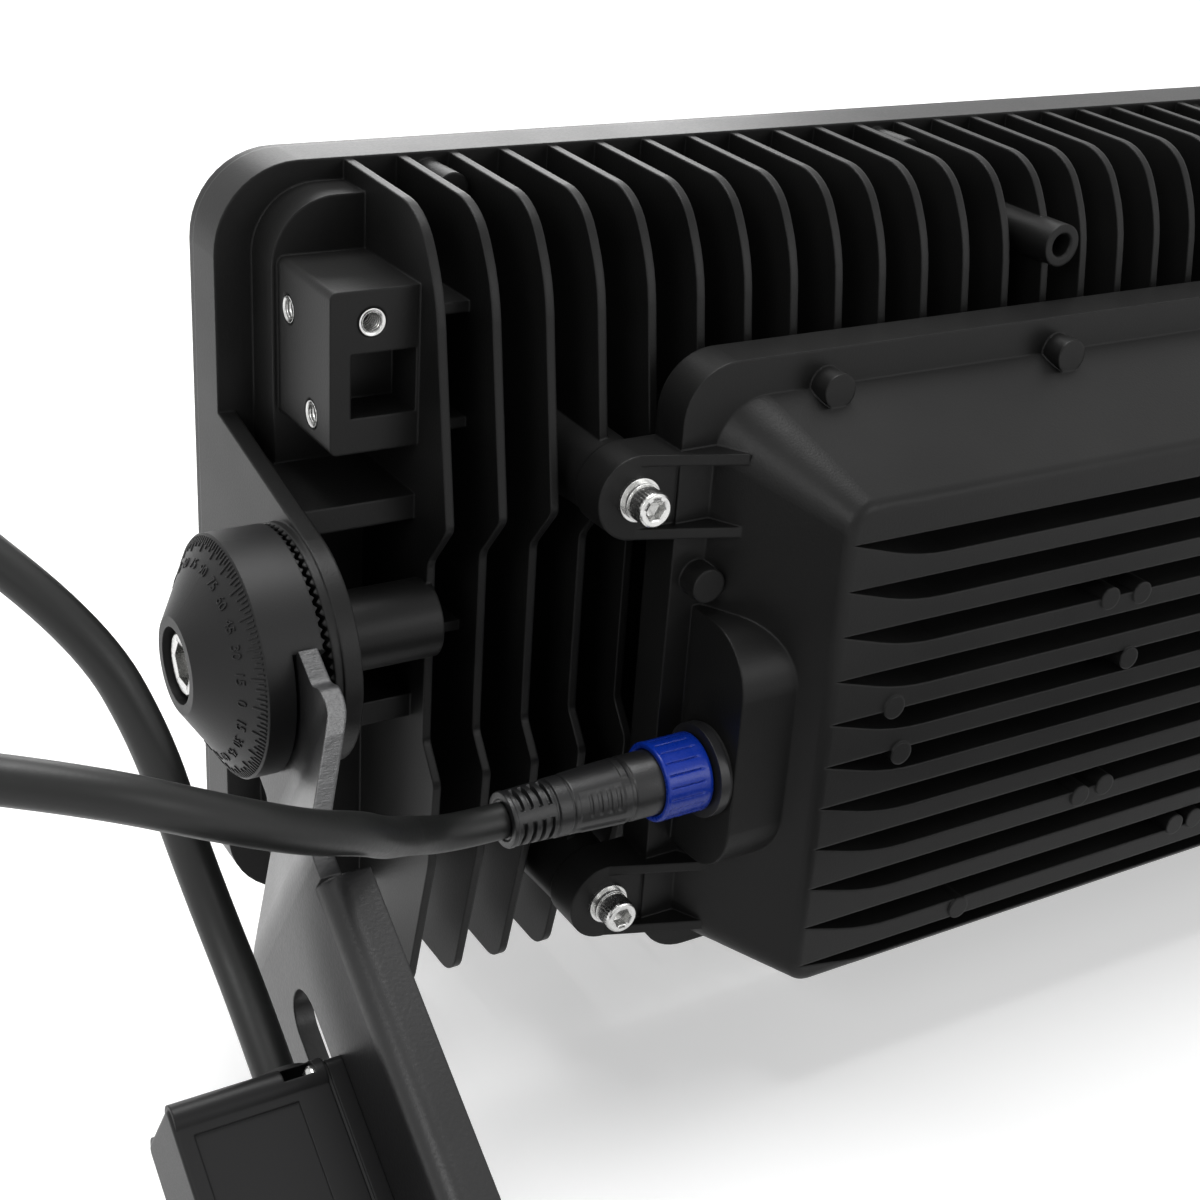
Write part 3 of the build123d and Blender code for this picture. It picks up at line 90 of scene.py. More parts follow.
# Cable: the lamp's own lead, from the plug round behind the yoke's arm to the junction box
cable_diameter = 0.010
cable_exit = (-0.2448, 0.14876, 0.07889)
cable_route = (
    cable_exit,
    (-0.2608, 0.14877, 0.07889),
    (-0.2760, 0.14031, 0.08782),
    (-0.2852, 0.12731, 0.09772),
    (-0.2955, 0.11461, 0.10792),
    (-0.3050, 0.10481, 0.11762),
    (-0.3213, 0.09561, 0.12752),
    (-0.3442, 0.08611, 0.14302),
    (-0.3680, 0.08671, 0.15512),
    (-0.4052, 0.10111, 0.16262),
    (-0.4500, 0.10491, 0.17792),
    (-0.4907, 0.12951, 0.19192),
    (-0.5092, 0.16956, 0.20489),
    (-0.4960, 0.21156, 0.21589),
    (-0.4570, 0.23076, 0.21989),
    (-0.4131, 0.21376, 0.21189),
    (-0.3758, 0.17671, 0.17892),
    (-0.3484, 0.15431, 0.15232),
    (-0.3387, 0.14611, 0.12802),
    (-0.3328, 0.14291, 0.10142),
    (-0.3290, 0.13431, 0.08292),
    (-0.3265, 0.12068, 0.06799),
    (-0.3265, 0.10398, 0.05735),
)


def spline_curve(name, route):
    """A smooth curve that takes the route's points as its control points."""
    curve = bpy.data.curves.new(name, "CURVE")
    curve.dimensions = "3D"
    spline = curve.splines.new("NURBS")
    spline.points.add(len(route) - 1)
    for point, place in zip(spline.points, route):
        point.co = (*place, 1)
    spline.order_u = 3
    spline.use_endpoint_u = True
    curve.resolution_u = 10
    return curve


cable_curve = spline_curve("cable_line", cable_route)
cable_guide = bpy.data.objects.new("cable_line", cable_curve)
cable_path = [vertex.co.copy() for vertex in bpy.data.meshes.new_from_object(cable_guide).vertices]
cable_curve.bevel_depth = cable_diameter / 2
cable_curve.bevel_resolution = 6
cable_curve.use_fill_caps = True
cable = shown("cable_jacket", bpy.data.meshes.new_from_object(cable_guide))
for polygon in cable.data.polygons:
    polygon.use_smooth = True
bpy.data.objects.remove(cable_guide)
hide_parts("lamp_cable")

# Helpers for the detailed pieces
drawing_origin = Vector((0, 242.763, 118.892))
smallest_radius = 0.01
weld_distance = 0.002


def stand(point, direction, side=(0, 0, 1)):
    """Where a shape drawn up its Z axis goes: its foot's drawing point, its direction and its X side."""
    up = Vector(direction).normalized()
    across = Vector(side)
    across = (across - up * across.dot(up)).normalized()
    axes = Matrix((across, up.cross(across), up)).transposed().to_4x4()
    return Matrix.Translation((Vector(point) + drawing_origin) * MM) @ axes


def turned(profile, steps):
    """A shape turned about the Z axis, from the (height, radius) points of its outline."""
    shape = bmesh.new()
    corners = [shape.verts.new((radius * MM, 0, height * MM)) for height, radius in profile]
    for first, second in zip(corners, corners[1:]):
        shape.edges.new((first, second))
    bmesh.ops.spin(shape, geom=shape.verts[:] + shape.edges[:], axis=(0, 0, 1), cent=(0, 0, 0),
                   angle=math.tau, steps=steps, use_merge=True)
    bmesh.ops.remove_doubles(shape, verts=shape.verts[:], dist=weld_distance * MM)
    bmesh.ops.recalc_face_normals(shape, faces=shape.faces[:])
    return shape


def spread(low, high, count):
    """Even levels from low to high."""
    return [low + (high - low) * index / (count - 1) for index in range(count)]


def press(shape, rule):
    """Give each point the radius that a rule makes of its height, radius and angle."""
    for vertex in shape.verts:
        radius = math.hypot(vertex.co.x, vertex.co.y) / MM
        if radius > smallest_radius:
            wanted = rule(vertex.co.z / MM, radius, math.atan2(vertex.co.y, vertex.co.x))
            vertex.co.x *= wanted / radius
            vertex.co.y *= wanted / radius


def as_mesh(name, shape):
    """The mesh of a finished shape."""
    mesh = bpy.data.meshes.new(name)
    shape.to_mesh(mesh)
    shape.free()
    return mesh


def add_copy(joined, mesh, place):
    """Add a copy of a mesh to a shape, at its place."""
    before = len(joined.verts)
    joined.from_mesh(mesh)
    joined.verts.ensure_lookup_table()
    bmesh.ops.transform(joined, matrix=place, verts=joined.verts[before:])


def gathered(name, shape, places, crease=32):
    """One object with a copy of a shape at each place, smooth but for its creases."""
    single = as_mesh(name + "_one", shape)
    joined = bmesh.new()
    for place in places:
        add_copy(joined, single, place)
    mesh = as_mesh(name, joined)
    bpy.data.meshes.remove(single)
    for face in mesh.polygons:
        face.use_smooth = True
    mesh.set_sharp_from_angle(angle=math.radians(crease))
    return shown(name, mesh)


def fitted(piece, slot, body, *replaced):
    """Hide the nodes that a piece stands for and attach it to the body it rides on. The slot is not used.
    """
    if replaced:
        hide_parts(*replaced)
    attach(piece, body)
    return piece


def cap_screw(shank, length, head, height, socket, depth, knurls):
    """A socket screw whose head is knurled, its seat at height 0 and its shank below."""
    steps = knurls * 4
    grip = spread(height * 0.12, height * 0.80, 4)
    profile = [(-length, 0), (-length, shank * 0.82), (0.8 - length, shank), (0, shank), (0, head * 0.97),
               (0.3, head)]
    profile += [(level, head) for level in grip]
    profile += [(height * 0.86, head * 0.985), (height * 0.95, head * 0.95), (height, head * 0.86),
                (height, socket * 0.62), (height - 0.3, socket * 0.56), (height - depth, socket * 0.56),
                (height - depth - 0.8, 0)]
    shape = turned(profile, steps)

    def rule(level, radius, angle):
        if height * 0.1 < level < height * 0.82 and radius > head * 0.99:
            return radius * (1 - 0.035 * (1 - abs(math.cos(angle * knurls / 2))))
        if abs(radius - socket * 0.56) < 0.01 and level > 0:
            return socket / 2 / math.cos((angle + math.pi / 6) % (math.pi / 3) - math.pi / 6)
        return radius

    press(shape, rule)
    return shape


def cross_screw(shank, length, head, height):
    """A domed screw with a cross recess, its seat at height 0 and its shank below."""
    dome = [(height * math.sin(turn), head * math.cos(turn)) for turn in spread(0.25, math.pi / 2, 26)]
    dome[-1] = (height, 0)
    profile = [(-length, 0), (-length, shank * 0.8), (0.5 - length, shank), (0, shank), (0, head * 0.97)]
    shape = turned(profile + dome, 96)
    arm = head * 0.15
    reach = head * 0.62
    for vertex in shape.verts:
        x, y, z = vertex.co / MM
        inner, outer = sorted((abs(x), abs(y)))
        if z > height * 0.3 and inner < arm and outer < reach:
            fall = min(1, (reach - outer) / (reach * 0.35))
            vertex.co.z = (z - height * 0.62 * fall) * MM
    return shape


def threaded_insert(outer, bore, length, pitch):
    """A metal insert whose bore shows the crests of its thread."""
    profile = [(0, outer), (length, outer), (length, bore)]
    turns = int(length / pitch)
    for index in range(turns):
        level = length - pitch * (index + 0.5)
        profile += [(level + pitch * 0.28, bore + pitch * 0.08), (level, bore + pitch * 0.5),
                    (level - pitch * 0.28, bore + pitch * 0.08)]
    profile += [(0.5, bore), (0, bore + 0.5), (0, outer)]
    return turned(profile, 48)


# Screws, bolts and inserts: radii of shank and head, lengths, and their places
lug_head_seat = -82.2
lug_screw = cap_screw(shank=3.0, length=28.0, head=5.0, height=6.0, socket=5.0, depth=3.2, knurls=30)
lug_screws = gathered("lug_cap_screws", lug_screw,
                      [stand((x, lug_head_seat, z), (0, -1, 0)) for x in (-200, 200) for z in (39, -89)])
fitted(lug_screws, "stainless", "lamp_head", "lug_screws")

pivot = Vector((0, -53, 2))
pivot_head_seat = 304.5
pivot_bolt = cap_screw(shank=6.0, length=42.5, head=9.0, height=12.0, socket=10.0, depth=6.0, knurls=36)
pivot_bolts = gathered("pivot_cap_bolts", pivot_bolt,
                       [stand(pivot + Vector((side * pivot_head_seat, 0, 0)), (side, 0, 0))
                        for side in (-1, 1)])
fitted(pivot_bolts, "stainless", "lamp_head", "pivot_bolts")

arm_tilt = math.radians(32.5)
along = Vector((0, -math.cos(arm_tilt), -math.sin(arm_tilt)))
across = Vector((0, -math.sin(arm_tilt), math.cos(arm_tilt)))


def on_arm(distance, offset, outward):
    """A drawing point on the left arm: along it from the pivot, across it and out from the lamp."""
    return pivot + along * distance + across * offset - Vector((outward, 0, 0))


arm_face = 314.5
cover_screw_level = 7.3
cover_screw = cross_screw(shank=1.5, length=7.1, head=2.8, height=2.2)
cover_screw_seats = [on_arm(distance, offset, arm_face + cover_screw_level)
                     for distance in (112, 194) for offset in (3.5, -18.5)]
cover_screws = gathered("box_cover_screws", cover_screw,
                        [stand(seat, (-1, 0, 0), along + across) for seat in cover_screw_seats])
fitted(cover_screws, "stainless", "yoke", "junction_box_screws")

insert_places = []
for side in (-1, 1):
    insert_places += [stand((side * 274, -21, 81), (-side, 0, 0)),
                      stand((side * 274, -36, 57.5), (-side, 0, 0)),
                      stand((side * 262.5, -48, 84.5), (0, 1, 0))]
insert = threaded_insert(outer=3.6, bore=2.5, length=8.0, pitch=1.0)
inserts = gathered("steel_thread_inserts", insert, insert_places, 60)
fitted(inserts, "stainless", "lamp_head", "thread_inserts")

# Connector: the blue ring and the plug turn about one line, drawn from the box wall outward
plug_line = stand((-185, -94, -40), (-1, 0, 0), (0, 1, 0))
ring_length = 14.6
ring_outer = 11.3
ring_facets = 20
facet_start = 2.0
facet_end = 13.6
facet_rise = 0.10
facet_sink = 0.12
groove_depth = 0.42
groove_share = 0.42


def ring_rule(level, radius, angle):
    """Shallow facets with a thin groove between them, which stop before the smooth rims."""
    if radius < 11.0 or not facet_start < level < facet_end:
        return radius
    turn = (angle % (math.tau / ring_facets)) / (math.tau / ring_facets) - 0.5
    end = min(1.0, (level - facet_start) / 1.6, (facet_end - level) / 0.5)
    facet = facet_rise * (1 - (2 * turn) ** 2)
    groove = groove_depth if abs(turn) > groove_share else 0.0
    return radius - facet_sink * end - groove * end + facet * end


ring_profile = [(0.3, 9.55), (0, 9.8), (0, 11.05), (0.25, ring_outer)]
ring_profile += [(level, ring_outer) for level in spread(1.2, 14.2, 40)]
ring_profile += [(14.5, 11.1), (ring_length, 10.9), (ring_length, 9.75), (14.4, 9.55), (0.3, 9.55)]
ring_shape = turned(ring_profile, ring_facets * 12)
press(ring_shape, ring_rule)
ring = gathered("lock_ring_sleeve", ring_shape, [plug_line], 50)
fitted(ring, "blue_plastic", "lock_ring", "lock_ring")

strip_turn = math.radians(-150)
grip_start = 24.2
grip_end = 42.0
collar_middles = (-48, 132)
ridge_middles = (62, -118)
pad_middles = (10, 190)
pad_ribs = (28.5, 31.3, 34.1, 36.9)
relief_start = 47.0
relief_end = 58.4
relief_slots = (48.6, 51.3, 54.0, 56.7)
slot_half_width = 0.62


def off_middle(turn, middle):
    """Degrees between two directions about the plug's line."""
    return abs((turn - middle + 180) % 360 - 180)


def plug_rule(level, radius, angle):
    """The grip's collar, ridges and ribbed pads, and the rows of slots in its strain relief."""
    if radius < 7.0 or level < 15:
        return radius
    turn = math.degrees((strip_turn - angle + math.pi) % math.tau - math.pi)
    if grip_start < level < grip_end:
        for middle in collar_middles:
            off = off_middle(turn, middle)
            if off < 26 and 24.6 < level < 26.6:
                radius += 0.35 * min(1, (26 - off) / 5)
        for middle in ridge_middles:
            off = off_middle(turn, middle)
            if off < 7:
                end = min(1, (grip_end - level) / 3, (level - grip_start) / 2)
                radius += 0.55 * min(1, (7 - off) / 3) * end
        for middle in pad_middles:
            off = off_middle(turn, middle)
            if off < 30 and 26.8 < level < 40:
                radius -= 0.22 * min(1, (30 - off) / 6)
                for rib in pad_ribs:
                    if abs(level - rib) < 0.5 and off < 22:
                        radius -= 0.30
    if relief_start < level < relief_end:
        off = abs((turn + 45) % 90 - 45)
        for slot in relief_slots:
            across_slot = slot_half_width - abs(level - slot)
            if across_slot > 0 and off > 13:
                radius -= 1.2 * min(1, (off - 13) / 4) * min(1, across_slot / 0.18)
    return radius


plug_profile = [(21.5, 0), (21.5, 6.0), (14.2, 6.0), (14.2, 8.3), (0.2, 8.3), (0, 8.5), (0, 9.0),
                (0.2, 9.2)]
plug_profile += [(22.6, 9.2), (23.0, 9.0), (23.2, 8.75), (24.2, 8.75), (24.4, 9.1)]
plug_profile += [(level, 9.15 - (level - 24.5) * 0.052) for level in spread(24.6, 41.4, 60)]
plug_profile += [(41.6, 8.1), (41.8, 7.85), (42.2, 7.85), (42.4, 8.25), (46.0, 8.15), (46.2, 7.95),
                 (46.4, 7.6), (46.9, 7.6), (47.1, 7.95)]
plug_profile += [(level, 7.95 - (level - 47.2) * 0.035) for level in spread(47.2, 58.4, 60)]
plug_profile += [(58.6, 7.75), (59.4, 7.75), (59.7, 7.6), (59.8, 7.35), (59.8, 5.9), (59.3, 5.4), (59.3, 0)]
plug_shape = turned(plug_profile, 120)
press(plug_shape, plug_rule)
plug = gathered("plug_grip", plug_shape, [plug_line], 40)
fitted(plug, "black_rubber", "lamp_head", "plug_body")

# Dials: ticks every two and a half degrees and plain numbers every fifteen, raised on the cone
dial_rim_level = 305.5
dial_rim_radius = 32.0
cone_run = Vector((12.5, -19.2)).normalized()
tick_count = 144
number_count = 24
tick_width = 0.55
tick_height = 0.60
tick_margin = 0.8
number_size = 3.9
number_depth = 0.26
number_distance = 8.4


def on_cone(side, turn, slope):
    """A place on a dial's cone, from its end, its angle and the distance in from the rim."""
    radial = Vector((0, math.cos(turn), math.sin(turn)))
    inward = Vector((side * cone_run.x, 0, 0)) + radial * cone_run.y
    outward = Vector((-side * cone_run.y, 0, 0)) + radial * cone_run.x
    point = pivot + Vector((side * dial_rim_level, 0, 0)) + radial * dial_rim_radius + inward * slope
    return stand(point, outward, (-inward).cross(outward))


def tick(length):
    """A thin raised line, with its middle at the origin."""
    shape = bmesh.new()
    bmesh.ops.create_cube(shape, size=MM)
    bmesh.ops.scale(shape, vec=(tick_width, length, tick_height), verts=shape.verts[:])
    bmesh.ops.bevel(shape, geom=shape.edges[:], offset=0.06 * MM, segments=1, profile=0.5, affect="EDGES",
                    material=-1)
    return shape


def number(value):
    """A raised number, as a mesh."""
    letters = bpy.data.curves.new("dial_number", "FONT")
    letters.body = value
    letters.size = number_size * MM
    letters.extrude = number_depth * MM
    letters.align_x = "CENTER"
    letters.align_y = "CENTER"
    letters.resolution_u = 3
    carrier = bpy.data.objects.new("dial_number", letters)
    mesh = bpy.data.meshes.new_from_object(carrier)
    bpy.data.objects.remove(carrier)
    return mesh


for side, label in ((-1, "left"), (1, "right")):
    marks = bmesh.new()
    for length, every in ((2.0, 1), (3.0, 2), (4.2, 6)):
        line = as_mesh("tick", tick(length))
        for index in range(0, tick_count, every):
            longer = any(index % bigger == 0 for bigger in (2, 6) if bigger > every)
            if not longer:
                turn = math.tau * index / tick_count
                add_copy(marks, line, on_cone(side, turn, tick_margin + length / 2))
    for index in range(number_count):
        fold = (index * 360 // number_count) % 180
        add_copy(marks, number(str(min(fold, 180 - fold))),
                 on_cone(side, math.tau * index / number_count, number_distance))
    name = "dial_marks_" + label
    fitted(shown(name, as_mesh(name, marks)), "cast_black", "yoke")


class Value:
    """A number that a node gives, so that shader maths reads as sums."""

    def __init__(self, finish, socket):
        self.finish = finish
        self.socket = socket

    def maths(self, operation, first, second):
        return self.finish.node("ShaderNodeMath", {"operation": operation}, {0: first, 1: second})

    def __add__(self, other):
        return self.maths("ADD", self, other)

    def __radd__(self, other):
        return self.maths("ADD", other, self)

    def __sub__(self, other):
        return self.maths("SUBTRACT", self, other)

    def __rsub__(self, other):
        return self.maths("SUBTRACT", other, self)

    def __mul__(self, other):
        return self.maths("MULTIPLY", self, other)


class Finish:
    """A material being made round its shader."""

    def __init__(self, name, constants):
        self.material = bpy.data.materials.new(name)
        self.material.use_nodes = True
        self.tree = self.material.node_tree
        self.shader = self.tree.nodes["Principled BSDF"]
        for socket, value in constants.items():
            self.shader.inputs[socket].default_value = value

    def node(self, kind, settings=None, inputs=None, output=0):
        """A node with its settings, then the values or links of its sockets."""
        made = self.tree.nodes.new(kind)
        for name, value in (settings or {}).items():
            if name == "stops":
                for element, (place, level) in zip(made.color_ramp.elements, value):
                    element.position = place
                    element.color = (level, level, level, 1)
            else:
                setattr(made, name, value)
        for socket, value in (inputs or {}).items():
            if isinstance(value, Value):
                self.tree.links.new(value.socket, made.inputs[socket])
            else:
                made.inputs[socket].default_value = value
        return Value(self, made.outputs[output])

    def feed(self, socket, value):
        """Link a value to one of the shader's sockets."""
        self.tree.links.new(value.socket, self.shader.inputs[socket])

    def place(self, scale=(1, 1, 1), turn=(0, 0, 0)):
        """Object coordinates, stretched and turned."""
        coordinates = self.node("ShaderNodeTexCoord", output="Object")
        return self.node("ShaderNodeMapping", None, {0: coordinates, 2: turn, 3: scale})

    def noise(self, place, scale, detail=3.0, roughness=0.55):
        """Cloudy noise between 0 and 1."""
        return self.node("ShaderNodeTexNoise", None,
                         {"Vector": place, "Scale": scale, "Detail": detail, "Roughness": roughness})

    def grains(self, place, scale):
        """Distance to the nearest of many scattered points."""
        return self.node("ShaderNodeTexVoronoi", None, {"Vector": place, "Scale": scale})

    def ramp(self, value, low, high):
        """A value sharpened between two levels."""
        return self.node("ShaderNodeValToRGB", {"stops": ((low, 0.0), (high, 1.0))}, {0: value})

    def colours(self, factor, first, second):
        """A mix of two colours."""
        return self.node("ShaderNodeMix", {"data_type": "RGBA"},
                         {0: factor, 6: (*first, 1), 7: (*second, 1)}, output=2)

    def blended(self, factor, first, second):
        """A mix of two values that are colours already."""
        return self.node("ShaderNodeMix", {"data_type": "RGBA"}, {0: factor, 6: first, 7: second}, output=2)

    def soft_edges(self, radius):
        """The surface's normal with its sharp edges rounded off."""
        return self.node("ShaderNodeBevel", {"samples": 6}, {"Radius": radius})

    def relief(self, height, strength, distance, radius=None):
        """Feed the shader's normal from a height, over rounded edges where it has a radius."""
        inputs = {"Strength": strength, "Distance": distance, "Height": height}
        if radius is not None:
            inputs["Normal"] = self.soft_edges(radius)
        self.feed("Normal", self.node("ShaderNodeBump", None, inputs))


def powder_coat(name, dark, pale, roughness, grain, depth, edge, specular=0.35):
    """Black powder coat: a fine pebbled skin whose gloss varies a little."""
    finish = Finish(name, {"Specular IOR Level": specular})
    place = finish.place()
    clouds = finish.noise(place, 22.0, 2.0)
    pebbles = finish.noise(place, grain, 2.0, 0.5)
    finish.feed("Base Color", finish.colours(finish.ramp(clouds, 0.3, 0.75), dark, pale))
    finish.feed("Roughness", roughness + (clouds - 0.5) * 0.12 + (pebbles - 0.5) * 0.10)
    finish.relief(pebbles, 0.55, depth, edge)
    return finish.material


def punched_steel():
    """Powder-coated steel plate; round its necks, the rough cut edges that face up and back are painted
    paler: bare steel with a painted highlight.
    """
    finish = Finish("steel_powder_coat", {"Specular IOR Level": 0.42})
    place = finish.place()
    clouds = finish.noise(place, 22.0, 2.0)
    pebbles = finish.noise(place, 1150.0, 2.0, 0.5)
    scratches = finish.noise(finish.place((0.25, 1.0, 1.0)), 1300.0, 3.0, 0.6)
    facing = finish.node("ShaderNodeNewGeometry", output="True Normal")
    # Painted highlight: the cut edges near the pivot that face up and back get a paler colour, partly bare
    # cut steel and partly a painted highlight.
    edge = finish.node("ShaderNodeVectorMath", {"operation": "DOT_PRODUCT"}, {0: facing, 1: tuple(across)},
                       output="Value")
    reach = finish.node("ShaderNodeVectorMath", {"operation": "DOT_PRODUCT"}, {0: place, 1: tuple(along)},
                        output="Value")
    from_pivot = reach - (pivot + drawing_origin).dot(along) * MM
    neck = 1.0 - finish.ramp(from_pivot, 0.066, 0.080)
    cut_edge_and_highlight = finish.ramp(edge, 0.55, 0.75) * neck
    plate = finish.colours(finish.ramp(clouds, 0.3, 0.75), (0.0085, 0.0085, 0.0088), (0.014, 0.014, 0.0144))
    bare_edge_and_highlight = finish.colours(scratches, (0.010, 0.010, 0.010), (0.078, 0.079, 0.082))
    finish.feed("Base Color", finish.blended(cut_edge_and_highlight, plate, bare_edge_and_highlight))
    finish.feed("Roughness", 0.34 + (clouds - 0.5) * 0.12 + (pebbles - 0.5) * 0.10)
    finish.relief(pebbles + cut_edge_and_highlight * scratches * 2.0, 0.55, 0.00008, 0.0007)
    return finish.material


def turned_metal(name, colour, pale, roughness, edge, streak=(1, 1, 1), grain=900.0):
    """Bare metal with fine machining streaks along the axes that are not stretched."""
    finish = Finish(name, {"Metallic": 1.0})
    streaks = finish.noise(finish.place(streak), grain, 2.0)
    clouds = finish.noise(finish.place(), 90.0, 2.0)
    finish.feed("Base Color", finish.colours(clouds, colour, pale))
    finish.feed("Roughness", roughness + (streaks - 0.5) * 0.22)
    finish.relief(streaks, 0.25, 0.00004, edge)
    return finish.material


def moulded(name, dark, pale, roughness, grain, depth, edge, specular=0.4, extra=None):
    """Moulded plastic or rubber with a fine spark-eroded texture."""
    finish = Finish(name, {"Specular IOR Level": specular, **(extra or {})})
    place = finish.place()
    speckle = finish.noise(place, grain, 3.0, 0.6)
    clouds = finish.noise(place, 35.0, 2.0)
    finish.feed("Base Color", finish.colours(clouds, dark, pale))
    finish.feed("Roughness", roughness + (speckle - 0.5) * 0.18)
    finish.relief(speckle, 0.4, depth, edge)
    return finish.material


def clear_lens():
    """Clear moulded lens plate with a faint haze."""
    finish = Finish("clear_polycarbonate", {"Transmission Weight": 1.0, "IOR": 1.5})
    haze = finish.noise(finish.place(), 60.0, 2.0)
    finish.feed("Base Color", finish.colours(haze, (0.93, 0.95, 0.96), (0.97, 0.98, 0.98)))
    finish.feed("Roughness", 0.05 + haze * 0.06)
    return finish.material


def circuit_laminate(name, base, track):
    """Circuit board with its solder mask over printed tracks."""
    finish = Finish(name, {"Coat Weight": 0.4, "Coat Roughness": 0.15})
    place = finish.place()
    tracks = finish.node("ShaderNodeTexBrick", None,
                         {"Vector": finish.place(turn=(math.pi / 2, 0, 0)), "Scale": 90.0,
                          "Mortar Size": 0.03, "Mortar Smooth": 0.1}, output="Fac")
    finish.feed("Base Color", finish.colours(tracks, base, track))
    finish.feed("Roughness", 0.35 + finish.noise(place, 300.0) * 0.2)
    finish.relief(tracks, 0.3, 0.00008)
    return finish.material


cast_black = powder_coat("cast_powder_coat", (0.0050, 0.0050, 0.0050), (0.0090, 0.0090, 0.0088), 0.40,
                         1500.0, 0.00007, 0.0009, specular=0.20)
steel_black = punched_steel()
dial_black = powder_coat("dial_coat", (0.0060, 0.0060, 0.0062), (0.0100, 0.0100, 0.0102), 0.46, 2200.0,
                         0.00005, 0.0004, specular=0.26)
box_black = moulded("junction_box_coat", (0.0045, 0.0045, 0.0048), (0.0075, 0.0075, 0.0078), 0.42,
                    2500.0, 0.00002, 0.0006, specular=0.22)
stainless = turned_metal("stainless_steel", (0.55, 0.55, 0.54), (0.68, 0.68, 0.67), 0.24, 0.00025)
brass = turned_metal("brass_parts", (0.62, 0.45, 0.18), (0.74, 0.57, 0.27), 0.28, 0.0002)
cable_rubber = moulded("cable_rubber", (0.0055, 0.0058, 0.0056), (0.0095, 0.0100, 0.0096), 0.42, 900.0,
                       0.00005, None, specular=0.34)
plug_rubber = moulded("plug_rubber", (0.0065, 0.0066, 0.0070), (0.0115, 0.0116, 0.0120), 0.36, 2100.0,
                      0.00016, 0.0003, specular=0.42)
seal_rubber = moulded("seal_rubber", (0.010, 0.010, 0.010), (0.015, 0.015, 0.015), 0.6, 1200.0,
                      0.00003, 0.0003)
thermal_rubber = moulded("thermal_pad_rubber", (0.42, 0.44, 0.46), (0.50, 0.52, 0.54), 0.7, 900.0,
                         0.00003, None)
black_plastic = moulded("black_nylon", (0.010, 0.010, 0.011), (0.015, 0.015, 0.016), 0.4, 1400.0,
                        0.00003, 0.0004)
blue_plastic = moulded("blue_ring_plastic", (0.0025, 0.025, 0.30), (0.0038, 0.034, 0.36), 0.28, 700.0,
                       0.00003, 0.0003, specular=0.32)
white_plastic = moulded("white_nylon", (0.72, 0.72, 0.70), (0.80, 0.80, 0.78), 0.4, 1000.0, 0.00003, 0.0003)
ferrite = moulded("ferrite_core", (0.035, 0.035, 0.037), (0.06, 0.06, 0.062), 0.65, 1300.0, 0.00008, 0.0003)
red_sleeve = moulded("red_wire_sleeve", (0.42, 0.03, 0.02), (0.52, 0.05, 0.03), 0.45, 900.0, 0.00003, None)
phosphor = moulded("phosphor_gel", (0.78, 0.58, 0.07), (0.86, 0.68, 0.12), 0.35, 1500.0, 0.00005, 0.0002)
lens = clear_lens()
green_board = circuit_laminate("green_circuit_board", (0.012, 0.11, 0.035), (0.05, 0.22, 0.08))
white_board = circuit_laminate("white_led_board", (0.80, 0.80, 0.78), (0.70, 0.70, 0.66))

finishes = {
    cast_black: ("heatsink_housing", "driver_housing", "front_bezel"),
    steel_black: ("yoke", "driver_base_plate"),
    dial_black: ("dial_left", "dial_right", "dial_marks_left", "dial_marks_right"),
    box_black: ("junction_box_base", "junction_box_cover"),
    stainless: ("bezel_screws", "base_plate_screws", "board_screws", "lug_flat_washers",
                "lug_spring_washers", "lug_screws", "pivot_bolts", "pivot_washers",
                "junction_box_screws", "box_mount_screws", "box_mount_nuts", "thread_inserts",
                lug_screws, pivot_bolts, cover_screws, inserts),
    brass: ("socket_contacts", "terminal_screws"),
    seal_rubber: ("lens_seals", "driver_seal", "lead_sleeve", "socket_seal", "junction_box_gasket",
                  "cable_grommet"),
    plug_rubber: ("plug_body", plug),
    cable_rubber: ("lamp_cable", cable),
    thermal_rubber: ("thermal_pads",),
    black_plastic: ("panel_socket", "socket_nut", "supply_gland_body", "supply_gland_nut",
                    "driver_capacitors"),
    blue_plastic: ("lock_ring", ring),
    white_plastic: ("thrust_washers", "terminal_block"),
    ferrite: ("driver_transformers", "driver_chokes"),
    red_sleeve: ("led_leads",),
    phosphor: ("led_chips",),
    lens: ("lens_panels",),
    green_board: ("driver_circuit_board",),
    white_board: ("led_boards",),
}


def wear(piece, material):
    """Give a piece its one material."""
    if piece.material_slots:
        for material_slot in piece.material_slots:
            material_slot.material = material
    else:
        piece.data.materials.append(material)


for material, wearers in finishes.items():
    for wearer in wearers:
        wear(bpy.data.objects[wearer] if isinstance(wearer, str) else wearer, material)

# Surroundings: a pale floor under the object, soft lamps and a white background
floor_level = cad_low.z - 0.0005
floor_shape = bmesh.new()
bmesh.ops.create_grid(floor_shape, x_segments=1, y_segments=1, size=6.0)
floor_shape.transform(Matrix.Translation((0, 0, floor_level)))
floor = shown("studio_floor", as_mesh("studio_floor", floor_shape))
floor_finish = Finish("studio_floor_paint", {"Roughness": 0.9, "Specular IOR Level": 0.0,
                                             "Base Color": (0.82, 0.82, 0.82, 1)})
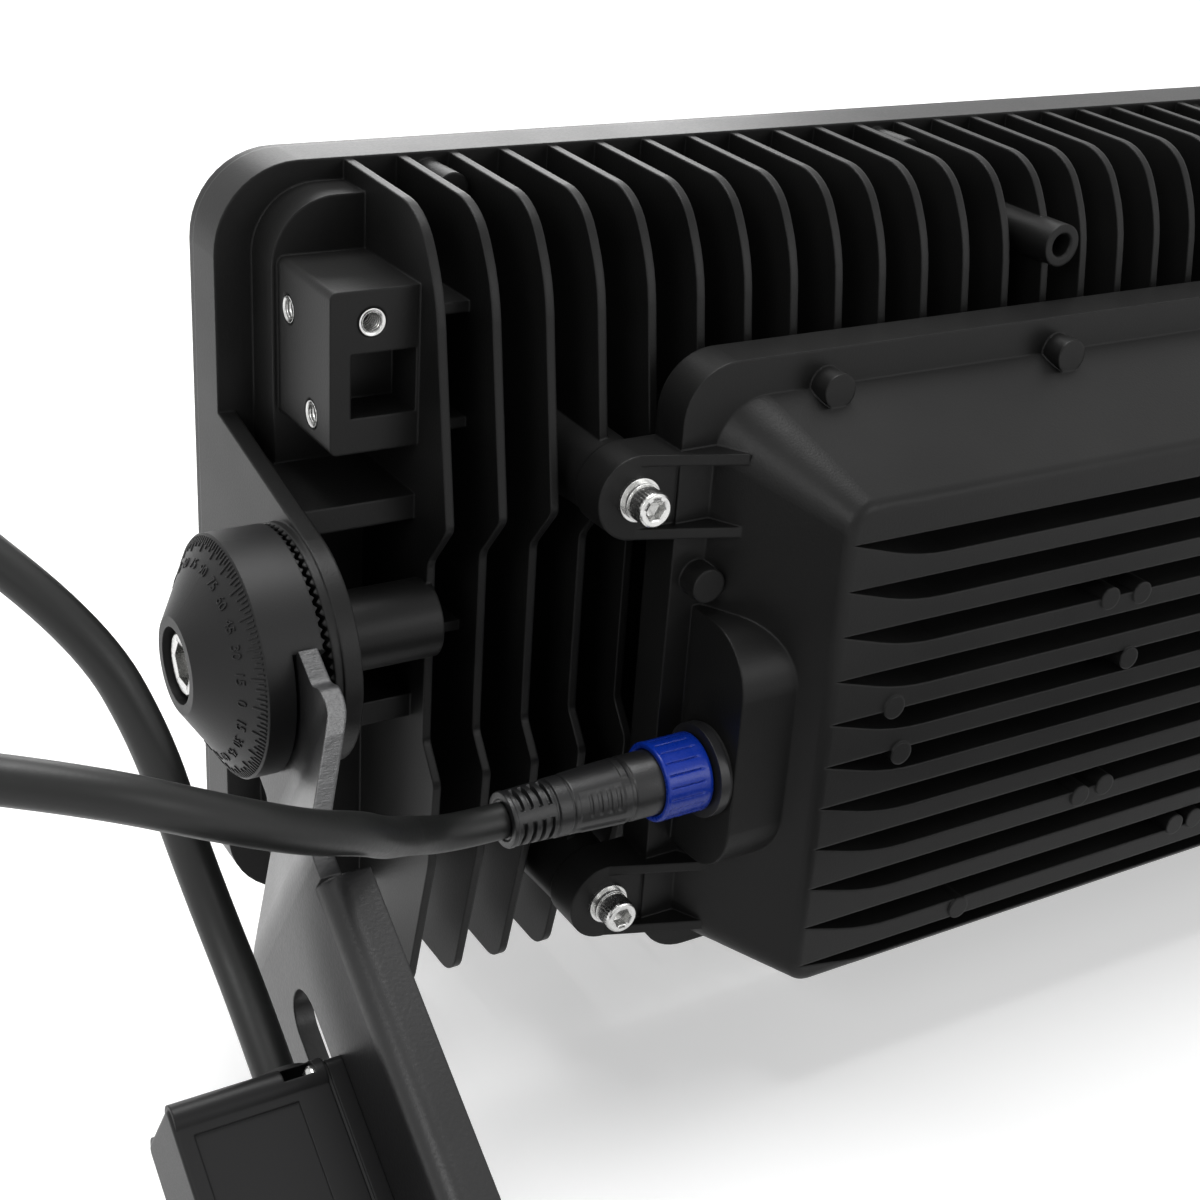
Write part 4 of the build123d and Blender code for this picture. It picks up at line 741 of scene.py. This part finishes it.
# The glow grows with distance, where the lamps' light on the floor fades
distance = floor_finish.node("ShaderNodeVectorMath", {"operation": "LENGTH"}, {0: floor_finish.place()},
                             output="Value")
far = floor_finish.ramp(distance * 0.2, 0.22, 0.62)
floor_finish.feed("Emission Color", floor_finish.colours(far, (0.5, 0.5, 0.5), (1, 1, 1)))
ray = floor_finish.node("ShaderNodeLightPath", output="Is Camera Ray")
glossy = floor_finish.node("ShaderNodeLightPath", output="Is Glossy Ray")
clear = floor_finish.node("ShaderNodeLightPath", output="Is Transmission Ray")
floor_finish.feed("Emission Strength", (ray + glossy + clear) * 0.84)
wear(floor, floor_finish.material)

world = bpy.data.worlds.new("studio_light")
scene.world = world
world.use_nodes = True
sky = world.node_tree
background = sky.nodes["Background"]
background.inputs["Color"].default_value = (1, 1, 1, 1)
rays = sky.nodes.new("ShaderNodeLightPath").outputs


def greater(first, second):
    """The greater of two values of the world's nodes."""
    node = sky.nodes.new("ShaderNodeMath")
    node.operation = "MAXIMUM"
    sky.links.new(first, node.inputs[0])
    sky.links.new(second, node.inputs[1])
    return node.outputs[0]


mirrored = greater(rays["Is Glossy Ray"], rays["Is Transmission Ray"])
seen = greater(rays["Is Camera Ray"], mirrored)
strength = sky.nodes.new("ShaderNodeMapRange")
strength.inputs["To Min"].default_value = 0.22
strength.inputs["To Max"].default_value = 1.0
sky.links.new(seen, strength.inputs["Value"])
sky.links.new(strength.outputs[0], background.inputs["Strength"])


def soft_lamp(name, place, target, size, power):
    """A large square lamp that faces a point."""
    lamp = bpy.data.objects.new(name, bpy.data.lights.new(name, "AREA"))
    scene.collection.objects.link(lamp)
    lamp.data.shape = "SQUARE"
    lamp.data.size = size
    lamp.data.energy = power
    aim = Vector(target) - Vector(place)
    lamp.matrix_world = Matrix.Translation(place) @ aim.to_track_quat("-Z", "Y").to_matrix().to_4x4()


soft_lamp("key_lamp", (-1.7, -0.7, 1.1), (-0.2, 0.15, 0.1), 0.8, 9.0)
soft_lamp("top_lamp", (-0.1, 0.5, 1.9), (0.0, 0.15, 0.1), 1.1, 34.0)
soft_lamp("rear_lamp", (0.9, -1.7, 0.9), (0.0, 0.15, 0.1), 1.0, 8.5)
soft_lamp("front_lamp", (0.5, 2.0, 0.8), (0.0, 0.15, 0.1), 1.2, 14.0)
scene.view_settings.view_transform = "Standard"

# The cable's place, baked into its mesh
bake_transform(cable)
